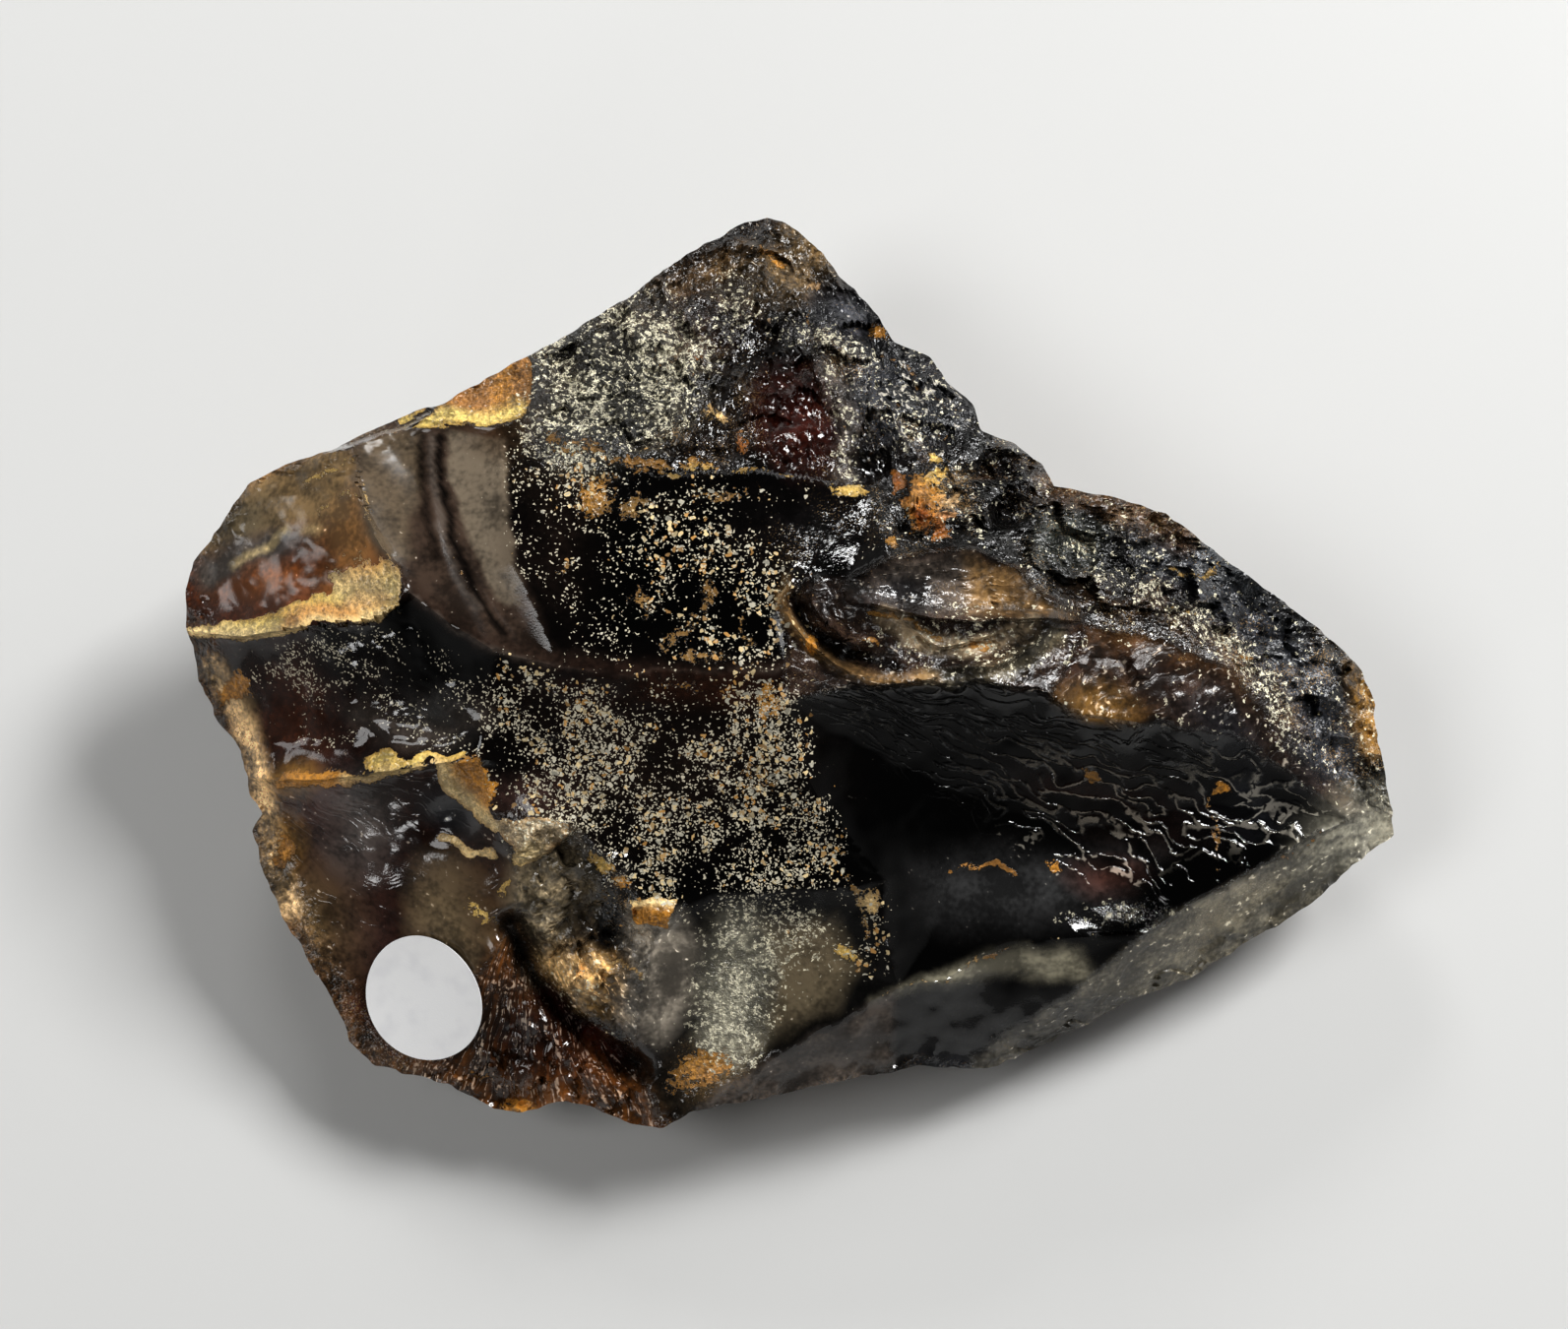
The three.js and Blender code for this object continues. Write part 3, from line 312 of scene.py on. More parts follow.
class Nearest:
    """The nearest place on a line, for arrays of plan points."""

    def __init__(self, line, u, v, closed=False):
        ring = [*line, line[0]] if closed else line
        self.distance = np.full(u.shape, np.inf)
        self.offset = np.zeros(u.shape)
        self.walked = np.zeros(u.shape)
        self.u = u.copy()
        self.v = v.copy()
        self.length = 0.0
        for start, end in zip(ring[:-1], ring[1:]):
            span = math.hypot(end[0] - start[0], end[1] - start[1])
            du, dv = (end[0] - start[0]) / span, (end[1] - start[1]) / span
            along = np.clip((u - start[0]) * du + (v - start[1]) * dv, 0.0, span)
            near_u, near_v = start[0] + du * along, start[1] + dv * along
            distance = np.hypot(u - near_u, v - near_v)
            offset = du * (v - start[1]) - dv * (u - start[0])
            tied = np.abs(distance - self.distance) < 1e-6
            closer = np.where(tied, np.abs(offset) > np.abs(self.offset),
                              distance < self.distance)
            self.distance = np.where(closer, distance, self.distance)
            self.offset = np.where(closer, offset, self.offset)
            self.walked = np.where(closer, self.length + along, self.walked)
            self.u = np.where(closer, near_u, self.u)
            self.v = np.where(closer, near_v, self.v)
            self.length += span

    def ends(self, fade):
        return clamp(np.minimum(self.walked, self.length - self.walked) / fade)


def inside(ring, u, v):
    result = np.zeros(u.shape, dtype=bool)
    for here, there in zip(ring, [ring[-1], *ring[:-1]]):
        if here[1] == there[1]:
            continue
        crosses = (here[1] > v) != (there[1] > v)
        edge = (there[0] - here[0]) * (v - here[1]) / (there[1] - here[1]) + here[0]
        result ^= crosses & (u < edge)
    return result


def half_tangent(a, b, u, v):
    pu, pv, qu, qv = a[0] - u, a[1] - v, b[0] - u, b[1] - v
    cross = pu * qv - pv * qu
    spread = np.hypot(pu, pv) * np.hypot(qu, qv) - (pu * qu + pv * qv)
    return spread / np.where(np.abs(cross) < 1e-7, 1e-7, cross)


def stretched_height(ring, u, v):
    """Mean value interpolation: the height of a sheet stretched over a ring of ridge points."""
    tangents = [half_tangent(a, b, u, v) for a, b in zip(ring, [*ring[1:], ring[0]])]
    total = np.zeros(u.shape)
    summed = np.zeros(u.shape)
    for i, corner in enumerate(ring):
        reach = np.maximum(np.hypot(corner[0] - u, corner[1] - v), 1e-6)
        weight = (tangents[i - 1] + tangents[i]) / reach
        total += weight
        summed += weight * corner[2]
    return summed / total


def lattice_value(i, j, k):
    wave = np.sin(i * 127.1 + j * 311.7 + k * 74.7) * 43758.5453
    return 2 * (wave - np.floor(wave)) - 1


def noise(x, y, z):
    """Smooth repeatable noise between -1 and 1."""
    x, y, z = np.broadcast_arrays(x, y, z)
    i, j, k = np.floor(x), np.floor(y), np.floor(z)
    a, b, c = x - i, y - j, z - k
    a, b, c = a * a * (3 - 2 * a), b * b * (3 - 2 * b), c * c * (3 - 2 * c)

    def edge(dj, dk):
        return mix(lattice_value(i, j + dj, k + dk), lattice_value(i + 1, j + dj, k + dk), a)

    return mix(mix(edge(0, 0), edge(1, 0), b), mix(edge(0, 1), edge(1, 1), b), c)


def shifts(u, v, widths, share, seed):
    """Two uneven shifts of the plan, with bumps of a wide and, by this share, a narrow width."""
    wide, narrow = widths
    return [noise(u / wide, v / wide, seed + turn)
            + share * noise(u / narrow, v / narrow, seed + turn + 6) for turn in (0, 12)]


# ---- the top sheet ---------------------------------------------------------------------------

def scar_numbers(u, v):
    numbers = np.full(u.shape, -1)
    for number, scar in enumerate(SCARS):
        numbers[(numbers < 0) & inside(scar.ridge, u, v)] = number
    lost = numbers < 0
    if lost.any():
        near = [Nearest(scar.ridge, u[lost], v[lost], closed=True).distance
                for scar in SCARS]
        numbers[lost] = np.argmin(near, axis=0)
    return numbers


def ledge_rise(ledge, u, v, face=0.3):
    near = Nearest(ledge.line, u, v)
    below = clamp(1 - near.distance / face)
    above = np.exp(-near.distance / ledge.reach)
    return ledge.rise * np.where(near.offset < 0, below, above) * near.ends(LEDGE_FADE)


def cleft_depth(cleft, u, v):
    near = Nearest(cleft.line, u, v)
    return cleft.depth * near.ends(CLEFT_FADE) * np.exp(-(near.distance / cleft.width) ** 2)


def dimple_depth(dimple, u, v):
    du, dv = u - dimple.centre[0], v - dimple.centre[1]
    cosine, sine = math.cos(dimple.turn), math.sin(dimple.turn)
    across = (du * cosine + dv * sine) / dimple.radii[0]
    along = (dv * cosine - du * sine) / dimple.radii[1]
    return dimple.depth * np.maximum(0.0, 1 - across ** 2 - along ** 2)


def rough_weight(scars, ridge, u, v):
    """How rough the stone is: by scar, and near the rim; never under the sticker."""
    rim_distance = Nearest(OUTLINE, u, v, closed=True).distance
    rim = clamp(1 - rim_distance / CRUST_RIM) * CRUST_RIM_ROUGH
    scar_rough = np.array([scar.rough for scar in SCARS])[scars]
    from_sticker = np.hypot(u - STICKER_CENTRE[0], v - STICKER_CENTRE[1])
    calm = clamp((from_sticker - STICKER_CALM + CALM_FADE) / CALM_FADE)
    return np.maximum(rim, scar_rough * clamp(ridge / FIRST_CRUST)) * calm


def top_form(u, v):
    """Heights of the top."""
    scars = scar_numbers(u, v)
    height = np.zeros(u.shape)
    ridge = np.zeros(u.shape)
    for number, scar in enumerate(SCARS):
        here = scars == number
        if not here.any():
            continue
        distance = Nearest(scar.ridge, u[here], v[here], closed=True).distance
        height[here] = stretched_height(scar.ridge, u[here], v[here])
        height[here] -= scar.hollow * (1 - np.exp(-distance / scar.reach))
        ridge[here] = distance
    for ledge in LEDGES:
        height += ledge_rise(ledge, u, v)
    for cleft in CLEFTS:
        height -= cleft_depth(cleft, u, v)
    for dimple in DIMPLES:
        height -= dimple_depth(dimple, u, v)
    rough = rough_weight(scars, ridge, u, v)
    large = noise(u / CRUST_GRAIN, v / CRUST_GRAIN, 3.3)
    small = noise(u / (CRUST_GRAIN / 2), v / (CRUST_GRAIN / 2), 7.7)
    height += rough * (large + 0.5 * small)
    return height + fine_relief(rough, u, v)


def flakes(u, v, width, seed):
    """Heights of flat tilted flakes, each about this wide, that meet at steps."""
    x = u / width + 0.35 * noise(u / width * 1.7, v / width * 1.7, seed + 0.5)
    y = v / width + 0.35 * noise(u / width * 1.7, v / width * 1.7, seed + 9.5)
    i, j = np.floor(x), np.floor(y)
    nearest = np.full(u.shape, np.inf)
    rise = np.zeros(u.shape)
    for di in (-1, 0, 1):
        for dj in (-1, 0, 1):
            a, b = i + di, j + dj
            across = x - a - 0.5 - 0.42 * lattice_value(a, b, seed)
            along = y - b - 0.5 - 0.42 * lattice_value(a, b, seed + 1)
            distance = across ** 2 + along ** 2
            tilted = (lattice_value(a, b, seed + 2) * across
                      + lattice_value(a, b, seed + 3) * along
                      + 0.35 * lattice_value(a, b, seed + 4))
            rise = np.where(distance < nearest, tilted, rise)
            nearest = np.minimum(nearest, distance)
    return rise * width


def crinkles(u, v, width, seed):
    """Sharp crests with round hollows between them, from 0 at a crest to -1."""
    return -np.abs(noise(u / width, v / width, seed))


# Height, kind, size and seed of the fine breaks.
FINE_BREAKS = [
    (0.5, flakes, 3.4, 3), (0.4, flakes, 1.6, 21),
    (0.6, crinkles, 1.9, 2.2), (0.45, crinkles, 0.9, 9.1),
]


def fine_relief(rough, u, v):
    """Relief too fine for the CAD solid: flakes, crinkles and grooves."""
    broken = np.maximum(0.0, rough - SMOOTH_UP_TO) / (1 - SMOOTH_UP_TO)
    relief = broken * sum(height * kind(u, v, size, seed)
                          for height, kind, size, seed in FINE_BREAKS)
    for groove in GROOVES:
        relief += ledge_rise(groove, u, v, face=0.9)
    return relief


GROOVES = [
    Ledge(0.3, 2.2, [[-30.2, 2.3], [-31.8, 4.2], [-33.4, 7], [-35, 10], [-36, 13], [-36.8, 16.7],
          [-37.5, 20.6], [-37.5, 26]]),
    Ledge(0.25, 1.6, [[-27.3, 1.6], [-29.1, 4.2], [-31.3, 7.6], [-33.2, 11.5], [-34.6, 15.5],
          [-35.6, 20], [-35.8, 26]]),
    Ledge(0.5, 1.5, [[28, -23], [29, -23.6], [31.9, -25.4], [34.9, -25.4], [37.6, -23.8]]),
    Ledge(0.1, 2, [[8, -11], [10, -12], [20, -19.5], [22.5, -20], [24.8, -24.5], [28.3, -27.2]]),
    Ledge(0.9, 1.3, [[29.6, 5.3], [26, 5.6], [19.4, 5.3], [14.6, 5.6], [10.4, 6.5], [6.4, 7.4]]),
    Ledge(0.9, 1.1, [[27.3, 5.3], [25.5, 4.1], [23.6, 2.2], [20.6, 0.7], [17.3, 0.4]]),
    Ledge(0.8, 1.0, [[10, 4.6], [9.1, 4.4], [6.4, 2.8], [4.6, 4.3], [3.9, 7]]),
    Ledge(0.5, 1.6, [[-43.6, -4.2], [-40, -6.8], [-36, -7.1], [-31.2, -4.8]]),
    Ledge(0.35, 1.4, [[-51.3, 14], [-50.9, 12], [-51.2, 9.2]]),
]


def wobble(u, v):
    """Bends the plan a little, so that no ridge is quite straight; the band stays smooth."""
    calm = clamp(Nearest(BAND_MIDDLE, u, v).distance / 6 - 0.7)
    bend_u, bend_v = shifts(u, v, WOBBLE_WIDTHS, 0.35, 11.5)
    return u + RIDGE_WOBBLE * calm * bend_u, v + RIDGE_WOBBLE * calm * bend_v


BAND_MIDDLE = [[-36, 25], [-36, 15], [-32, 7], [-27.5, 2]]


def place(u, v, height):
    """From the plan to the leaning, tapering lump, in metres."""
    rise = height - PLAN_HEIGHT
    share = 1 - rise * TAPER
    x = TAPER_AXIS[0] + (u - TAPER_AXIS[0]) * share + PLAN_SHIFT[0]
    y = TAPER_AXIS[1] + (v - TAPER_AXIS[1]) * share - rise * FORWARD_LEAN + PLAN_SHIFT[1]
    return np.stack([x, y, height], axis=-1) * MM


def plan_of(x, y, height):
    """The plan point that a point of the lump, in metres, leans back to."""
    rise = height / MM - PLAN_HEIGHT
    share = 1 - rise * TAPER
    u = TAPER_AXIS[0] + (x / MM - PLAN_SHIFT[0] - TAPER_AXIS[0]) / share
    v = TAPER_AXIS[1] + (y / MM - PLAN_SHIFT[1] + rise * FORWARD_LEAN - TAPER_AXIS[1]) / share
    return u, v


# ---- the stone's mesh ------------------------------------------------------------------------

def evenly_round(ring, count):
    """Points spaced evenly round a closed line."""
    corners = np.array([*ring, ring[0]], dtype=float)[:, :2]
    walked = np.concatenate([[0], np.cumsum(np.linalg.norm(np.diff(corners, axis=0), axis=1))])
    stops = np.arange(count) / count * walked[-1]
    return np.stack([np.interp(stops, walked, corners[:, axis]) for axis in (0, 1)], axis=1)


def ring_round(ring, rim):
    """Gives every rim point the point of a ring of corners that lies in its direction."""
    corners = np.array(ring, dtype=float)
    turns = np.arctan2(corners[:, 1], corners[:, 0])
    rim_turns = np.arctan2(rim[:, 1], rim[:, 0])
    order = np.argsort(turns)
    corners, turns = corners[order], turns[order]
    after = np.searchsorted(turns, rim_turns) % len(corners)
    a, b = corners[after - 1], corners[after]
    direction = np.stack([np.cos(rim_turns), np.sin(rim_turns)], axis=1)
    cross_a = direction[:, 0] * a[:, 1] - direction[:, 1] * a[:, 0]
    cross_b = direction[:, 0] * b[:, 1] - direction[:, 1] * b[:, 0]
    share = (cross_a / (cross_a - cross_b))[:, None]
    points = mix(a, b, share)
    for corner, turn in zip(corners, turns):
        gap = np.abs(np.angle(np.exp(1j * (rim_turns - turn))))
        points[np.argmin(gap)] = corner
    return points


def snap_to_ridges(u, v, spacing):
    """Moves points that are close to a ridge onto it, and never two onto one place."""
    bent_u, bent_v = wobble(u, v)
    scars = scar_numbers(bent_u, bent_v)
    reach = SNAP_SHARE * spacing
    move_u, move_v = np.zeros(u.shape), np.zeros(v.shape)
    best = reach.copy()
    lines = [(scar.ridge, True, scars == number) for number, scar in enumerate(SCARS)]
    everywhere = np.ones(u.shape, dtype=bool)
    lines += [(item.line, False, everywhere) for item in [*LEDGES, *CLEFTS]]
    for line, closed, here in lines:
        near = Nearest(line, bent_u[here], bent_v[here], closed)
        closer = near.distance < best[here]
        chosen = np.flatnonzero(here)[closer]
        best[chosen] = near.distance[closer]
        move_u[chosen] = near.u[closer] - bent_u[chosen]
        move_v[chosen] = near.v[closer] - bent_v[chosen]
    moved = np.flatnonzero(best < reach)
    cell = SNAP_CELL * np.median(spacing)
    keys = np.stack([np.round((u + move_u)[moved] / cell), np.round((v + move_v)[moved] / cell)])
    _, first = np.unique(keys, axis=1, return_index=True)
    kept = moved[first]
    u, v = u.copy(), v.copy()
    u[kept] += move_u[kept]
    v[kept] += move_v[kept]
    return u, v


def disc_faces(rings):
    """Triangles of a hexagonal disc: ring k holds 6k points."""
    faces = []
    for k in range(1, rings + 1):
        outer, inner = 1 + 3 * k * (k - 1), 1 + 3 * (k - 1) * (k - 2)
        inner_count = max(1, 6 * (k - 1))
        sector, step = np.meshgrid(np.arange(6), np.arange(k), indexing="ij")
        a = outer + (sector * k + step).ravel()
        b = outer + ((sector * k + step + 1) % (6 * k)).ravel()
        if k == 1:
            faces.append(np.stack([a, b, np.zeros_like(a)], axis=1))
            continue
        c = inner + ((sector * (k - 1) + step) % inner_count).ravel()
        d = inner + ((sector * (k - 1) + step + 1) % inner_count).ravel()
        faces.append(np.stack([a, b, c], axis=1))
        full = (step < k - 1).ravel()
        faces.append(np.stack([b[full], d[full], c[full]], axis=1))
    return np.concatenate(faces)


def band_faces(outer, inner):
    """Triangles between two rings of point numbers that run the same way round."""
    faces = []
    a = b = 0
    while a < len(outer) or b < len(inner):
        here, there = outer[a % len(outer)], inner[b % len(inner)]
        step_outer = b >= len(inner) or (
            a < len(outer) and (a + 1) * len(inner) <= (b + 1) * len(outer))
        if step_outer:
            a += 1
            faces.append((here, there, outer[a % len(outer)]))
        else:
            b += 1
            faces.append((here, there, inner[b % len(inner)]))
    return np.array(faces)


# ---- painting the plan -----------------------------------------------------------------------
# A zone is a strength and a shape; shapes give weights from 0 to 1 for arrays of plan points.

def blob(u0, v0, ru, rv, turn=0.0, soft=0.8):
    """An oval; its edge fades over this share of its radius."""
    def shape(u, v):
        cosine, sine = math.cos(turn), math.sin(turn)
        across = ((u - u0) * cosine + (v - v0) * sine) / ru
        along = ((v - v0) * cosine - (u - u0) * sine) / rv
        return clamp((1 + soft - np.hypot(across, along)) / (2 * soft))
    return shape


def stroke(line, width, soft=0.6):
    """A line of this half width; its edge fades over the soft distance."""
    def shape(u, v):
        return clamp((width - Nearest(line, u, v).distance) / soft + 0.5)
    return shape


def patch(ring, soft=1.0):
    """An area inside a ring; its edge fades over the soft distance."""
    def shape(u, v):
        distance = Nearest(ring, u, v, closed=True).distance
        return clamp(np.where(inside(ring, u, v), distance, -distance) / soft + 0.5)
    return shape


def scar(name, soft=1.0):
    """The area of a flake scar."""
    return patch(next(item.ridge for item in SCARS if item.name == name), soft)


def paint(zones, u, v):
    """The strongest zone wins; a zone with a negative strength thins what came before it."""
    weight = np.zeros(u.shape)
    for strength, *shapes in zones:
        for shape in shapes:
            share = strength * shape(u, v)
            weight = weight * (1 + share) if strength < 0 else np.maximum(weight, share)
    return weight

# Areas and lines that more than one table uses.
SLAB_BREAK = [
    [-62.5, 4.2], [-60, 5], [-55.4, 5.8], [-52.4, 6.4], [-49.4, 7.4], [-47, 8.6], [-46.6, 10.3],
    [-45, 10.9], [-41, 11.8], [-39.3, 8.7], [-40, 6.8], [-42.3, 5.6], [-45.3, 5.1], [-50.2, 4.6],
    [-55.8, 3.8],
]
WINDOW_PATCH = [
    [-39, 26.3], [-38, 28.5], [-33, 32], [-27, 35], [-26.8, 31], [-27.4, 27.8], [-30, 26.4],
    [-34, 26.8],
]
WEDGE = [
    [-36, -9.2], [-31.5, -9.4], [-29.8, -11.6], [-30.3, -15], [-32.6, -13.8], [-34.8, -11.2],
]
CHIP_PLATE = [[-30, -15.2], [-21.9, -15], [-22.4, -17], [-26, -19.2], [-27.8, -18.6]]
DISH_LEFT = [[-15.5, -24.5], [-11, -24.5], [-9, -28], [-10, -34], [-13, -37.5], [-17.5, -35]]
HOLLOW_LINE = [[4, 31.5], [5.4, 27], [5.9, 21]]
FOOT_GLASS = blob(-27, -37.6, 4.4, 4, 0.2, 0.7)
WHORL_FRONT = blob(3, 15.5, 6, 4.5, 0, 0.6)

# The colours of the resin and the rind, in linear light; some are painted reflections, sheen and
# highlights.
BLACK = (0.004, 0.003, 0.003)
PITCH = (0.012, 0.008, 0.006)
CHARCOAL = (0.011, 0.010, 0.009)
SLATE = (0.027, 0.029, 0.035)
STEEL = (0.032, 0.040, 0.046)
GRAPHITE_REFLECTION = (0.046, 0.046, 0.046)
MOSS = (0.060, 0.066, 0.055)
BLUE_GREY = (0.070, 0.073, 0.085)
OLIVE_GREY_GLITTER = (0.085, 0.080, 0.060)
SMOKE_DARK = (0.034, 0.020, 0.014)
SMOKE = (0.105, 0.085, 0.070)
MAUVE = (0.105, 0.055, 0.046)
PAINTED_SHEEN_WARM = (0.19, 0.165, 0.15)
PAINTED_SHEEN_GREY = (0.19, 0.18, 0.17)
DARK_BROWN = (0.036, 0.013, 0.008)
FIBRE_BROWN = (0.052, 0.028, 0.016)
COCOA = (0.052, 0.034, 0.024)
BARK = (0.062, 0.031, 0.012)
UMBER = (0.075, 0.052, 0.032)
TAUPE_REFLECTION = (0.105, 0.078, 0.050)
FAWN_REFLECTION = (0.155, 0.125, 0.090)
GREY_TAN = (0.135, 0.115, 0.075)
KHAKI_REFLECTION = (0.145, 0.115, 0.072)
HAZEL = (0.16, 0.105, 0.048)
STONE = (0.185, 0.165, 0.120)
LICHEN_REFLECTION = (0.24, 0.22, 0.16)
DRAB = (0.25, 0.165, 0.075)
TAN = (0.26, 0.155, 0.060)
PUTTY_REFLECTION = (0.33, 0.29, 0.235)
LIGHT_STONE = (0.36, 0.33, 0.24)
PALE_STONE = (0.36, 0.34, 0.27)
SAND = (0.36, 0.25, 0.10)
CAMEL = (0.37, 0.28, 0.16)
PALE = (0.40, 0.31, 0.19)
BISCUIT = (0.40, 0.31, 0.20)
BONE_HIGHLIGHT = (0.52, 0.49, 0.375)
OAT = (0.54, 0.43, 0.27)
# The reds, oranges and yellows of the resin.
DEEP_RED = (0.070, 0.009, 0.004)
CHESTNUT = (0.085, 0.038, 0.010)
HONEY = (0.105, 0.036, 0.006)
RED_BROWN = (0.125, 0.034, 0.011)
SIENNA = (0.14, 0.052, 0.012)
RUST = (0.20, 0.036, 0.005)
EMBER = (0.30, 0.085, 0.011)
OCHRE = (0.33, 0.175, 0.035)
RUSSET = (0.34, 0.165, 0.05)
GLOW = (0.36, 0.125, 0.030)
CARAMEL = (0.42, 0.22, 0.075)
ORANGE = (0.50, 0.235, 0.040)
PEACH = (0.60, 0.31, 0.105)
STRAW = (0.60, 0.41, 0.21)
APRICOT = (0.62, 0.40, 0.17)
LEMON = (0.70, 0.53, 0.17)
CREAM = (0.90, 0.70, 0.36)


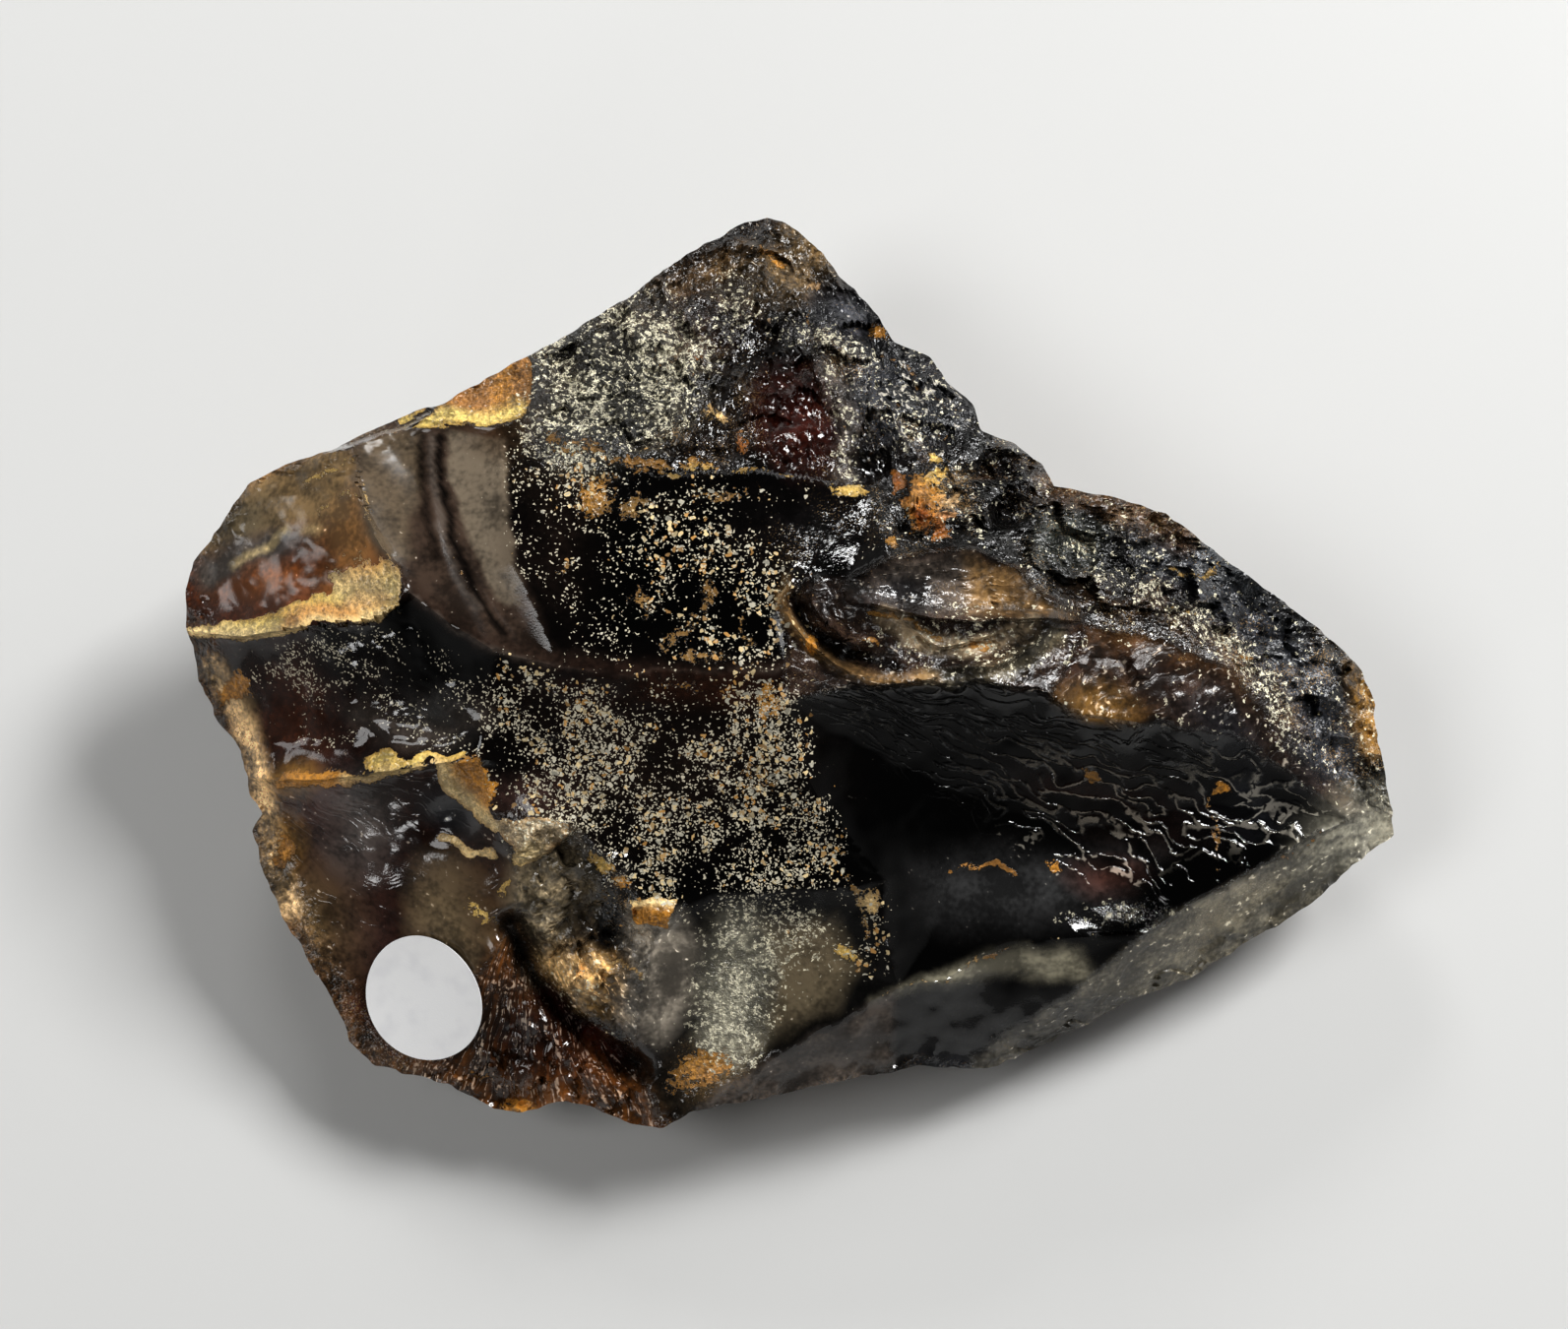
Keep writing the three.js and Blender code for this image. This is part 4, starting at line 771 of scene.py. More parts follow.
# The colour of the surface, in layers: colour, how much light it stops, strength, shapes.
LAYERS = [
    # the slab
    (RED_BROWN, 0.7, 1, scar("slab", 2)),
    (GLOW, 0.9, 0.95, blob(-52, 9.6, 5.5, 2.4, 0.15, 0.7)),
    (DRAB, 0.85, 1, patch([[-62, 11.5], [-56, 20], [-47.5, 24.5], [-44, 23.5], [-44.6, 15.5],
     [-50, 15], [-55.5, 14]], 2.5)),
    # painted reflection: a grey patch on the slab's upper left, where it mirrors light
    (GREY_TAN, 0.8, 0.7, blob(-56.5, 15.5, 3.5, 2.4, 0.6, 0.7)),
    (SMOKE, 0.85, 1, stroke([[-59.5, 10.2], [-56, 12.4], [-52, 13.6], [-50, 13]], 1.6, 1.6)),
    # painted highlight: pale streaks along the slab's ridge
    (CREAM, 0.75, 0.8, stroke([[-56.8, 11.4], [-54.6, 12.6], [-53.2, 13.4]], 0.3, 0.7),
     stroke([[-53.4, 13], [-51.5, 14.9]], 0.3, 0.7)),
    (CREAM, 0.75, 0.6, blob(-48.8, 14.8, 0.9, 0.6)),
    (MAUVE, 0.8, 0.5, stroke([[-59, 6.5], [-54, 7], [-49, 9]], 1, 1.5)),
    (CARAMEL, 0.9, 0.85, blob(-45, 14, 3, 4.5, -0.4, 0.6)),
    (RED_BROWN, 0.8, 0.7, blob(-48.6, 11.6, 2.6, 1.8, 0, 0.7)),
    # the band beside it, smooth and dark, with painted reflections where it mirrors light
    (COCOA, 0.9, 1, scar("band", 1)),
    # painted reflection: pale grey-brown zones where the smooth band mirrors light
    (TAUPE_REFLECTION, 0.95, 1, patch([[-44.8, 25], [-38.3, 25.6], [-38.4, 19], [-39, 12], [-41.5, 11.5],
     [-43.8, 15], [-44.6, 19]], 1.2)),
    (FAWN_REFLECTION, 0.95, 1, patch([[-35.2, 25.6], [-29.3, 24.5], [-29, 17.6], [-28.4, 12.4], [-27.6, 9],
     [-27.6, 6.4], [-29.6, 7.5], [-32, 11.5], [-34, 16.5], [-35, 20.5]], 0.5)),
    # painted highlight: a thin grey line between the grooves
    (SMOKE, 0.95, 0.75, stroke([[-36.9, 25], [-36.8, 20], [-35.9, 15], [-34.2, 10.5], [-32, 6.4]],
     0.35, 0.5)),
    # painted shade: dark lines along the grooves
    (BLACK, 0.3, 0.8, stroke([[-36.1, 25], [-35.9, 20], [-35, 15.3], [-33.4, 11], [-31.4, 7.2],
     [-29, 4]], 0.3, 0.4)),
    (BLACK, 0.3, 0.6, stroke([[-38, 25], [-38.1, 20.6], [-37.4, 16], [-36.2, 12]], 0.3, 0.5)),
    (SMOKE_DARK, 0.8, 0.8, stroke([[-39, 8.4], [-31, 3.2], [-24, 1.4], [-12, -0.4], [0, 0.4]], 0.9,
     1.4)),
    (SMOKE, 0.9, 0.7, stroke(CREST, 0.15, 0.4)),
    # the window
    (BARK, 0.8, 0.6, blob(-29, 26, 4, 3, 0, 0.6)),
    # the flank below the slab
    (DARK_BROWN, 0.5, 0.9, patch([[-60, 4.5], [-49, 4.5], [-46, -2], [-36, -8], [-49, -11],
     [-56, -8], [-60, -2]], 3)),
    (MAUVE, 0.6, 0.35, blob(-44, -2, 6, 4, 0, 0.7)),
    (RED_BROWN, 0.85, 0.8, blob(-50.5, -5.5, 3, 4)),
    # painted sheen: a pale grey patch where the flank mirrors light
    (PAINTED_SHEEN_GREY, 0.8, 0.6, blob(-36, -4, 3, 2.2, 0.2)),
    # painted reflection: a grey band along the curved groove
    (SMOKE, 0.8, 0.8, stroke([[-43.3, -4.2], [-40, -6.4], [-36, -6.6], [-31.5, -4.6]], 1.6, 2.2)),
    (MAUVE, 0.8, 0.8, blob(-26.5, -12.8, 5, 2.2, 0, 0.6)),
    (DARK_BROWN, 0.6, 0.7, blob(-20, -2, 8, 2.4, 0, 0.7)),
    (RED_BROWN, 0.7, 0.6, blob(-8, -2.2, 6, 1.6, 0, 0.7)),
    # the hollow with the sticker
    (DARK_BROWN, 0.75, 1, scar("hollow", 2)),
    (MAUVE, 0.75, 0.7, stroke([[-47, -12], [-47, -20], [-44, -27]], 3, 4)),
    (HAZEL, 0.85, 0.95, blob(-48, -25.5, 3.6, 5, 0.3, 0.9)),
    (CAMEL, 0.85, 0.9, blob(-33.6, -25.6, 3.2, 5, 0.3)),
    # painted sheen: a warm grey patch where the hollow mirrors light
    (PAINTED_SHEEN_WARM, 0.8, 0.8, blob(-43.3, -16, 2.6, 3.8, 0, 0.9)),
    (SLATE, 0.9, 0.9, blob(-33.8, -14.4, 3.4, 2.6, -0.5, 0.4)),
    (BARK, 0.9, 0.7, blob(-29.5, -24, 5, 6, 0, 0.7)),
    # the foot and the chips
    (SIENNA, 0.85, 1, scar("foot", 2)),
    (BLACK, 0.5, 0.85, FOOT_GLASS),
    (DARK_BROWN, 0.7, 0.7, blob(-24.5, -34, 3.6, 4.5, 0, 0.7)),
    (RED_BROWN, 0.8, 0.6, blob(-21, -38, 6, 3, 0, 0.7)),
    (CHARCOAL, 0.8, 1, scar("chips", 1)),
    (OAT, 0.95, 0.9, blob(-24, -22.6, 3, 4.8, 0.1)),
    (APRICOT, 1, 0.95, blob(-19.5, -31.3, 6.2, 2.9, -0.3, 0.35)),
    (OCHRE, 1, 0.6, blob(-17.2, -32, 2.6, 3, 0, 0.5)),
    (BARK, 0.9, 0.6, blob(-21.4, -26.6, 1.6, 3.4, 0, 0.7)),
    (BLACK, 0.3, 0.95, stroke([[-28, -25.1], [-25.3, -31.4], [-22.1, -34.6], [-18.4, -37.5],
     [-15.7, -39.6]], 1.1, 1.4)),
    (DEEP_RED, 0.3, 0.8, stroke([[-24.6, -33], [-20, -37.2], [-17.5, -39]], 0.8, 1.2)),
    (BARK, 0.8, 0.8, stroke([[-27.4, -25.5], [-24.6, -31.2], [-21.4, -34]], 0.3, 0.8)),
    (HAZEL, 1, 0.9, blob(-8.6, -40.5, 4.6, 2.8, 0.4, 0.6)),
    # the speckled ground and the dish
    (SMOKE_DARK, 0.6, 0.8, blob(-14, -9, 14, 8)),
    (SMOKE_DARK, 0.6, 0.6, blob(-24, 13, 4, 8)),
    (CHARCOAL, 0.7, 0.8, scar("dish", 3)),
    # painted reflection: the smooth dish is pale grey where it mirrors light, with a painted
    # highlight in its middle
    (PUTTY_REFLECTION, 0.95, 0.95, patch(DISH_LEFT, 2.5)),
    (KHAKI_REFLECTION, 0.95, 0.95, patch([[-3, -26], [4, -25], [6.5, -30], [4, -34], [-4, -38.5],
     [-1.5, -32]], 2.5)),
    (LICHEN_REFLECTION, 0.95, 0.9, blob(-5.6, -32, 3.4, 6, -0.1, 0.6)),
    (BONE_HIGHLIGHT, 0.95, 0.9, blob(-5.6, -32.4, 2.2, 5, -0.1)),
    # the scoop with its dark floor, with a painted grey reflection low down
    # painted reflection: grey where the lower floor mirrors light
    (GRAPHITE_REFLECTION, 0.9, 0.95, patch([[13, -20], [22, -18], [30, -19], [37, -18], [33, -24],
     [22, -26.5], [14, -26]], 5)),
    (SLATE, 0.6, 0.7, blob(47, -13, 6, 4, 0, 0.7)),
    (RUST, 0.6, 0.3, blob(32, -21, 3.2, 1.5)),
    (DARK_BROWN, 0.5, 0.7, blob(31, -13, 8, 3, -0.3, 0.9)),
    # the fibrous shelf above it
    (FIBRE_BROWN, 1, 1, scar("fibrous", 1.5)),
    (OCHRE, 1, 0.6, blob(31, -3.2, 3.6, 1.7, -0.3, 0.7)),
    (CHESTNUT, 1, 0.9, blob(36, 2.6, 6, 1.3, -0.3)),
    (DARK_BROWN, 1, 0.7, blob(26.5, 0.5, 3.2, 2.2, -0.3)),
    (DARK_BROWN, 1, 0.6, blob(37.5, 0, 3.2, 1.6, -0.5, 0.9)),
    (SLATE, 0.8, 0.8, blob(44, -5, 5, 2.4, -0.4, 0.7)),
    # the whorl
    (SMOKE_DARK, 0.95, 1, scar("whorl", 1)),
    # painted reflection: the grey on the left of the lens, where its dome mirrors light
    (SMOKE, 0.9, 0.9, patch([[6, 8.6], [10.4, 11.4], [14, 12.3], [18.9, 12.4], [19.4, 6],
     [14.6, 6.2], [10.4, 7]], 1.6)),
    (SLATE, 0.9, 0.7, blob(11, 8.4, 3.6, 1.6, 0, 0.7)),
    (TAN, 1, 0.85, patch([[18, 12], [23.6, 10], [25.7, 7.7], [29, 6], [24, 6], [18.5, 6.4]],
     1.8)),
    # pale lines on the leaves and curls: partly their tan colour, partly painted highlight on the
    # ledge edges; the black line in the cleft is painted shade
    (BISCUIT, 0.95, 0.9, stroke([[9.5, 5.6], [12.2, 4.2], [15, 2.9], [18, 2.4], [21, 3.3],
     [24.5, 4.8]], 0.9, 0.9)),
    (GREY_TAN, 0.95, 0.9, stroke([[14, -0.6], [18, -0.6], [22, 0.4], [25, 2.4], [27, 4]], 0.9,
     1)),
    (TAN, 1, 0.7, stroke([[-0.5, 9.3], [-0.9, 7.4], [0, 5], [1.3, 3.1], [3.1, 1.9], [5.2, 0.4],
     [8.5, -0.9], [15, -0.6]], 0.6, 0.9)),
    (BLACK, 0.2, 0.9, stroke([[1.2, 9.4], [0.6, 7.6], [1.6, 5.2], [3.6, 3.2], [6.6, 1.4],
     [11, 0.6]], 0.5, 0.7)),
    # the shoulder above the crown
    (PITCH, 0.6, 1, scar("shoulder", 1.5)),
    (BARK, 0.9, 0.55, stroke([[-27, 28], [-16, 37], [-8, 43], [-2, 46]], 1.6, 3)),
    (UMBER, 0.9, 0.8, blob(-15.7, 40, 4.5, 2.4, 0.6)),
    (DARK_BROWN, 0.8, 0.9, blob(-10, 35.7, 3.4, 3)),
    (BLACK, 0.6, 0.9, blob(-3.5, 46.6, 3.6, 1.2, 0, 0.6)),
    (DRAB, 0.9, 0.8, blob(2.7, 45, 3, 1.4, -0.5)),
    (HAZEL, 0.9, 0.8, blob(-2, 42, 5, 2.4, 0, 0.9)),
    (BLUE_GREY, 0.9, 0.9, blob(6, 37.8, 3.4, 2.2, -0.5)),
    # partly the grains' own colour, partly painted glitter of light caught by them
    (OLIVE_GREY_GLITTER, 1, 0.8, blob(-18, 30.5, 8.5, 6.2, 0.6, 0.6)),
    (BLACK, 0.6, 0.8, blob(-4, 33, 5, 3.4, 0.4, 0.7)),
    (SLATE, 0.9, 0.85, patch([[4.5, 25], [7, 33], [12, 35], [17, 30], [19.5, 25.5], [15, 24],
     [9, 23]], 4)),
    (DEEP_RED, 0.95, 0.7, blob(0.6, 26.5, 3.2, 4.2, 0.2)),
    (BLACK, 0.5, 0.9, blob(8, 21.5, 2.2, 2, 0, 0.6)),
    (BLACK, 0.97, 0.9, blob(2.5, 15, 8, 5, 0, 0.6)),
    (SMOKE, 0.9, 0.7, stroke(HOLLOW_LINE, 1, 1.6)),
    (BLACK, 0.5, 0.7, blob(8.6, 22, 1.8, 3, 0.3, 0.6)),
    # the right crust
    (CHARCOAL, 0.85, 1, scar("right crust", 1.5)),
    (MOSS, 0.9, 0.8, blob(28.9, 13.1, 3.4, 2.2, -0.3, 0.7)),
    (BLACK, 0.5, 0.8, blob(35, 10, 4.5, 2.4, -0.4)),
    (STEEL, 0.95, 0.9, stroke([[35, 16.4], [41, 12.6], [47, 8]], 1.5, 1.6)),
    (SLATE, 0.9, 0.8, stroke([[38, 12], [46, 6], [52, -1], [54, -9]], 3.2, 3)),
    (BARK, 0.9, 0.75, stroke([[22, 20.5], [29, 19], [34, 17.4], [40, 14]], 1.6, 2)),
    (BARK, 0.8, 0.4, stroke([[30, 8], [38, 7], [46, 0], [50, -6]], 1.6, 3)),
    (OCHRE, 1, 0.6, stroke([[57.6, 0], [58.4, -4], [59, -8]], 1, 1.6)),
    (BLACK, 0.2, 1, blob(22.4, 19.8, 3.2, 3.8, 0.2, 0.5)),
    # the cut sides at the front
    (STONE, 0.95, 1, scar("side", 1)),
    (PALE_STONE, 0.95, 0.9, blob(57, -17.5, 6, 4, 0.4, 0.6)),
    (BLACK, 0.2, 1, scar("facet", 0.8)),
    (LIGHT_STONE, 0.9, 0.9, patch([[8, -33.5], [20, -31], [30, -31.5], [29, -28], [20, -28.4],
     [14, -31]], 1.6)),
    (SMOKE, 0.85, 0.95, scar("bevel", 1)),
    (SLATE, 0.7, 0.6, patch([[12, -39], [30, -33], [34, -35.5], [16, -42]], 2.5)),
    # the rind along the left rim
    (BARK, 1, 0.9, stroke([[-61, 4], [-60, -2], [-56.4, -8], [-54.4, -15], [-52.5, -21],
     [-49.5, -29], [-46, -35.5], [-41, -40.6], [-34, -43]], 2, 1.8)),
    (STRAW, 1, 1, stroke([[-58.5, 0.5], [-55.6, -4], [-53, -12.5], [-52, -18.5], [-50, -24]],
     1, 1.4)),
    (OCHRE, 1, 0.75, blob(-50.2, -11, 2.4, 1.8, 0, 0.6)),
    (OCHRE, 1, 0.7, blob(-50.6, -17.6, 1.8, 2.4, 0, 0.6)),
]

# Patches with torn edges: colour, strength, shapes.
PATCHES = [
    (LEMON, 1, patch(SLAB_BREAK, 1.2)),
    (CREAM, 1, stroke([[-61, 4.3], [-55.8, 4.1], [-50.3, 5], [-45.3, 5.4], [-42.3, 5.9]], 0.6,
     1.2)),
    (PEACH, 0.9, patch([[-52, 6], [-45.5, 8], [-42, 8.6], [-40.6, 7], [-45, 5.6], [-52, 5]],
     0.9)),
    (CREAM, 0.85, blob(-43.6, 9, 4, 1.6, -0.3)),
    (CREAM, 0.62, stroke([[-39.6, 9], [-41.2, 12], [-43.4, 16.2], [-44.2, 20.5]], 0.7, 1.6)),
    (LEMON, 0.7, stroke([[-45.5, 22.4], [-47, 20.8], [-50, 19.6]], 0.6, 1.6),
     stroke([[-44.7, 18.9], [-46.4, 18.4], [-48.9, 16.8]], 0.5, 1.6)),
    (PEACH, 0.6, blob(-43.2, 11.2, 2.6, 2, 0.3, 0.6)),
    (CREAM, 0.6, stroke([[-46.5, 10.3], [-46.2, 12.2], [-44, 12.6]], 0.6, 1.6)),
    (RUSSET, 1, patch(WINDOW_PATCH, 1.2)),
    (ORANGE, 1, stroke([[-29.3, 33.6], [-29.6, 28]], 0.9, 1.8)),
    (LEMON, 1, stroke([[-39.6, 26.4], [-36, 26.9], [-32, 26.6], [-28.6, 27.4]], 0.8, 1.2)),
    # painted highlight: a bright thin line along a groove of the band
    (PALE, 0.55, stroke([[-36.4, 25], [-36.2, 20], [-35.3, 15.3], [-33.8, 11], [-32, 7.4]], 0.28,
     0.8)),
    # thin pale threads: partly a pale colour of their own, partly painted highlight where
    # thread-like ridges catch light
    (PALE, 0.62, stroke([[-4.9, 37], [-7.3, 33], [-10, 31.5], [-10.6, 28]], 0.26, 0.8),
     stroke([[-2.4, 37.5], [-1.7, 34], [-2.4, 31], [-4.4, 29.4]], 0.26, 0.8)),
    (PALE, 0.58, stroke([[1.6, 39], [2.6, 35], [2.2, 31.6]], 0.26, 0.8)),
    (PALE, 0.6, stroke([[-12.6, 37.4], [-11.2, 34.6], [-8.6, 33.2], [-8.2, 30.4]], 0.26, 0.8),
     stroke([[-6.6, 35.2], [-5.4, 32.6], [-6.2, 29.8]], 0.26, 0.8)),
    (PALE, 0.58, stroke([[-3.4, 40.4], [-2.2, 38], [-2.6, 35.4]], 0.26, 0.8)),
    (SAND, 0.6, stroke([[-13.4, 33.4], [-11.8, 31.2], [-12.4, 28.8], [-9.6, 26.4]], 0.3, 0.9)),
    (PALE, 0.58, stroke([[4.4, 27.4], [5.2, 24.4], [4.6, 21.8], [6.4, 19.8]], 0.3, 0.8)),
    (GREY_TAN, 0.6, stroke([[9.6, 33.4], [12.4, 31.8], [14, 29.2], [17.6, 27.6]], 0.3, 0.8),
     stroke([[8.6, 29.8], [11.2, 28.2], [12.4, 25.6], [15.8, 24.4]], 0.3, 0.8)),
    (GREY_TAN, 0.58, stroke([[7.4, 26.4], [9.8, 25.2], [10.6, 23.2]], 0.3, 0.8)),
    (TAN, 0.6, blob(-2.2, 44.4, 2.6, 1, -0.4)),
    (ORANGE, 0.72, blob(-0.9, 43.4, 1.2, 1)),
    (PALE, 0.62, blob(1.9, 41, 1.3, 1.3)),
    (ORANGE, 0.68, blob(9, 35.8, 1.3, 1.1)),
    (CREAM, 0.66, blob(-7.3, 27.2, 2.4, 1.3, -0.5)),
    (RUST, 0.62, blob(-5.2, 24.5, 1.2, 2.2, 0.4)),
    (OCHRE, 0.7, blob(-20.4, 18.6, 2.9, 3.3, -0.3, 0.9)),
    (SAND, 0.56, blob(-23, 23.4, 3.4, 1.6, -0.3), blob(-16, 17.5, 2.8, 2.2),
     blob(-22.9, 11, 2.2, 1.3, 0.3), stroke([[-15, 17.3], [-13.5, 13.4], [-11.8, 16.2]], 0.6, 1.2),
     stroke([[-9.4, 13], [-8.6, 8], [-10.6, 4.6], [-13.6, 2.4]], 1, 2.2), stroke([[-4.5, 13],
     [-4.9, 7], [-4.3, 0.8]], 0.6, 1.2), stroke([[-2.1, 12], [-2.1, 3]], 0.4, 1),
     blob(-9, 1.8, 5.5, 1.4, 0.1), blob(-15, 7.5, 2.6, 2.4), blob(-8, 18.4, 4.4, 1.4, 0.2),
     blob(-3.5, -11, 3, 3.4), stroke([[0.6, -13], [4.4, -19], [7.2, -23], [7.6, -27]], 0.9, 1.8)),
    (OCHRE, 0.6, stroke([[-24, 25], [-19, 22.4], [-14, 21.6]], 1.4, 3.6),
     blob(-9.5, 21.6, 3, 1.4, 0, 0.7)),
    (ORANGE, 0.61, blob(14.1, 18, 3.2, 4.4, -0.4, 0.5)),
    (LEMON, 0.64, blob(15.8, 20.6, 1.6, 1, 0.2, 0.5)),
    (PEACH, 0.62, blob(12.4, 18.6, 1.4, 1, 0.6, 0.5)),
    (RUST, 0.8, blob(13.4, 16.6, 1, 1.2, 0.2, 0.5)),
    (EMBER, 0.75, blob(16, 15.8, 1.6, 1, 0.2, 0.5)),
    (EMBER, 0.72, blob(15.4, 14.6, 1.9, 0.8)),
    (RUST, 0.72, blob(10.8, 20.2, 1.1, 1.4)),
    (LEMON, 0.7, blob(14.9, 22.5, 1.5, 1)),
    (PALE, 0.8, blob(16.8, 17.8, 1.2, 1.8)),
    (LEMON, 0.7, stroke([[-13, 20.8], [-3, 21.2], [3, 20]], 0.35, 1.2),
     blob(5.6, 19.4, 2.8, 1, -0.2)),
    (OCHRE, 0.65, blob(10.5, 13.6, 1.5, 1)),
    (ORANGE, 0.85, stroke([[-51, -11.4], [-49.1, -11.3], [-45, -11]], 0.9, 1.6)),
    (CREAM, 0.9, stroke([[-45, -11], [-42.3, -10.5], [-38, -10], [-35.2, -9.6]], 0.4, 1.2)),
    (LEMON, 1, blob(-41.1, -9.2, 2.2, 0.9), stroke([[-38.7, -9.2], [-35.5, -8.9], [-33.5, -8.6]],
     0.4, 0.8)),
    (ORANGE, 1, patch(WEDGE, 1.6)),
    (CREAM, 1, stroke([[-35.6, -9.9], [-33.6, -12.4], [-31.4, -14.6], [-29.8, -15.6]], 0.7,
     1.2)),
    (CREAM, 0.95, stroke([[-34.9, -17.3], [-32.8, -18.2], [-29.8, -18.6]], 0.5, 1)),
    (PALE, 1, patch(CHIP_PLATE, 1.2)),
    (CREAM, 1, blob(-26.9, -18.9, 1.3, 0.9)),
    (LEMON, 0.75, blob(-18.6, -19.9, 2, 0.9, -0.7)),
    (ORANGE, 0.72, blob(-16.5, -21.7, 1.6, 0.9, -0.5)),
    (ORANGE, 1, patch([[-15.6, -23.4], [-11.2, -23.2], [-11.6, -26], [-15.4, -25.6]], 0.5)),
    (CREAM, 1, stroke([[-15.4, -23.6], [-11.4, -23.4]], 0.35, 0.8)),
    (LEMON, 0.7, blob(-31, -24.5, 2.6, 1.6, -0.6)),
    (LEMON, 0.6, blob(-28.5, -21.5, 1.2, 2.2)),
    (ORANGE, 0.8, blob(-50.1, -11, 1.9, 1.1), blob(-51, -17.9, 1.2, 2),
     blob(-56.3, -1.7, 2.6, 1.5, 0.9)),
    (ORANGE, 0.85, blob(-26.9, -44.2, 2.6, 1)),
    (OCHRE, 0.8, blob(-8.4, -40.4, 4.4, 2.6, 0.4)),
    (PEACH, 0.62, blob(-7.4, -41, 2.6, 1.3, 0.4)),
    (CREAM, 0.7, stroke([[-23, -29.6], [-17, -29.6], [-14.8, -31]], 0.4, 1.2)),
    (LEMON, 0.72, blob(5.5, -28.7, 2.3, 1.2, -0.4)),
    (CREAM, 0.62, blob(8.1, -23.6, 1.2, 1.8)),
    (ORANGE, 0.9, blob(1.9, 3.1, 1, 1.1)),
    (PALE, 0.8, stroke([[-0.7, 8.6], [-0.8, 6.6]], 0.5, 1.2)),
    (ORANGE, 0.68, blob(8.1, 2.9, 1.7, 0.6)),
    (ORANGE, 0.72, blob(19.5, 2.5, 3, 0.9, 0.1)),
    (OCHRE, 0.8, stroke([[8, 6.2], [12, 5], [15.5, 3.6]], 0.4, 1)),
    (ORANGE, 0.75, blob(26.5, -19.9, 1.2, 0.9)),
    (ORANGE, 0.8, blob(43.6, -11.8, 1.2, 0.9)),
    (TAN, 0.7, stroke([[42.3, -12.5], [42.8, -20]], 0.7, 2)),
    (TAN, 0.6, blob(30, -11, 1.8, 0.8, -0.5)),
    (PEACH, 0.7, stroke([[16, -21], [17.9, -19.8], [20.6, -19.6], [22.5, -21]], 0.4, 1)),
    (OCHRE, 0.5, blob(30, -3.2, 3.2, 1.3, -0.3)),
    (OCHRE, 0.42, blob(35, 2.9, 4, 0.8, -0.3)),
    # painted highlight: pale edges of the whorl's leaves
    (PALE, 0.5, stroke([[10, 5.2], [14, 3.4], [18, 2.7], [23, 4.4]], 0.35, 1.4),
     stroke([[14, -0.8], [19, -0.4], [23, 1.2]], 0.35, 1.4)),
    (ORANGE, 0.5, stroke([[44, 8.2], [42.4, 9.4]], 0.6, 1.6)),
    (LEMON, 0.62, stroke([[37.6, 6.6], [39.3, 6.8], [42, 5.6]], 0.4, 1), stroke([[38.6, 10.6],
     [41.4, 9.6], [43.6, 10.6]], 0.4, 1)),
    (OCHRE, 0.66, blob(46.2, 1.8, 1.4, 1)),
    (EMBER, 0.6, blob(-9.8, 33.6, 2.4, 1.3, 0.4)),
    (OCHRE, 0.58, blob(39.8, 1.8, 1.6, 0.9)),
    (CREAM, 0.6, stroke([[8.5, -33.4], [10.7, -32.2], [15.5, -31.6], [18.5, -29]], 0.4, 1.2)),
    (OCHRE, 0.55, stroke([[18.5, -29], [25.2, -27.4], [34.6, -27.2], [46, -20.5], [57, -15]], 0.35,
     1.2)),
    (OCHRE, 0.7, blob(-2.2, -3.2, 2.2, 3.2, 0, 0.7)),
    (OCHRE, 0.45, blob(-12, -1.6, 8, 1.2)),
    (ORANGE, 0.5, stroke([[-33, -41], [-24, -42.5], [-17, -42.5]], 1.6, 4)),
]

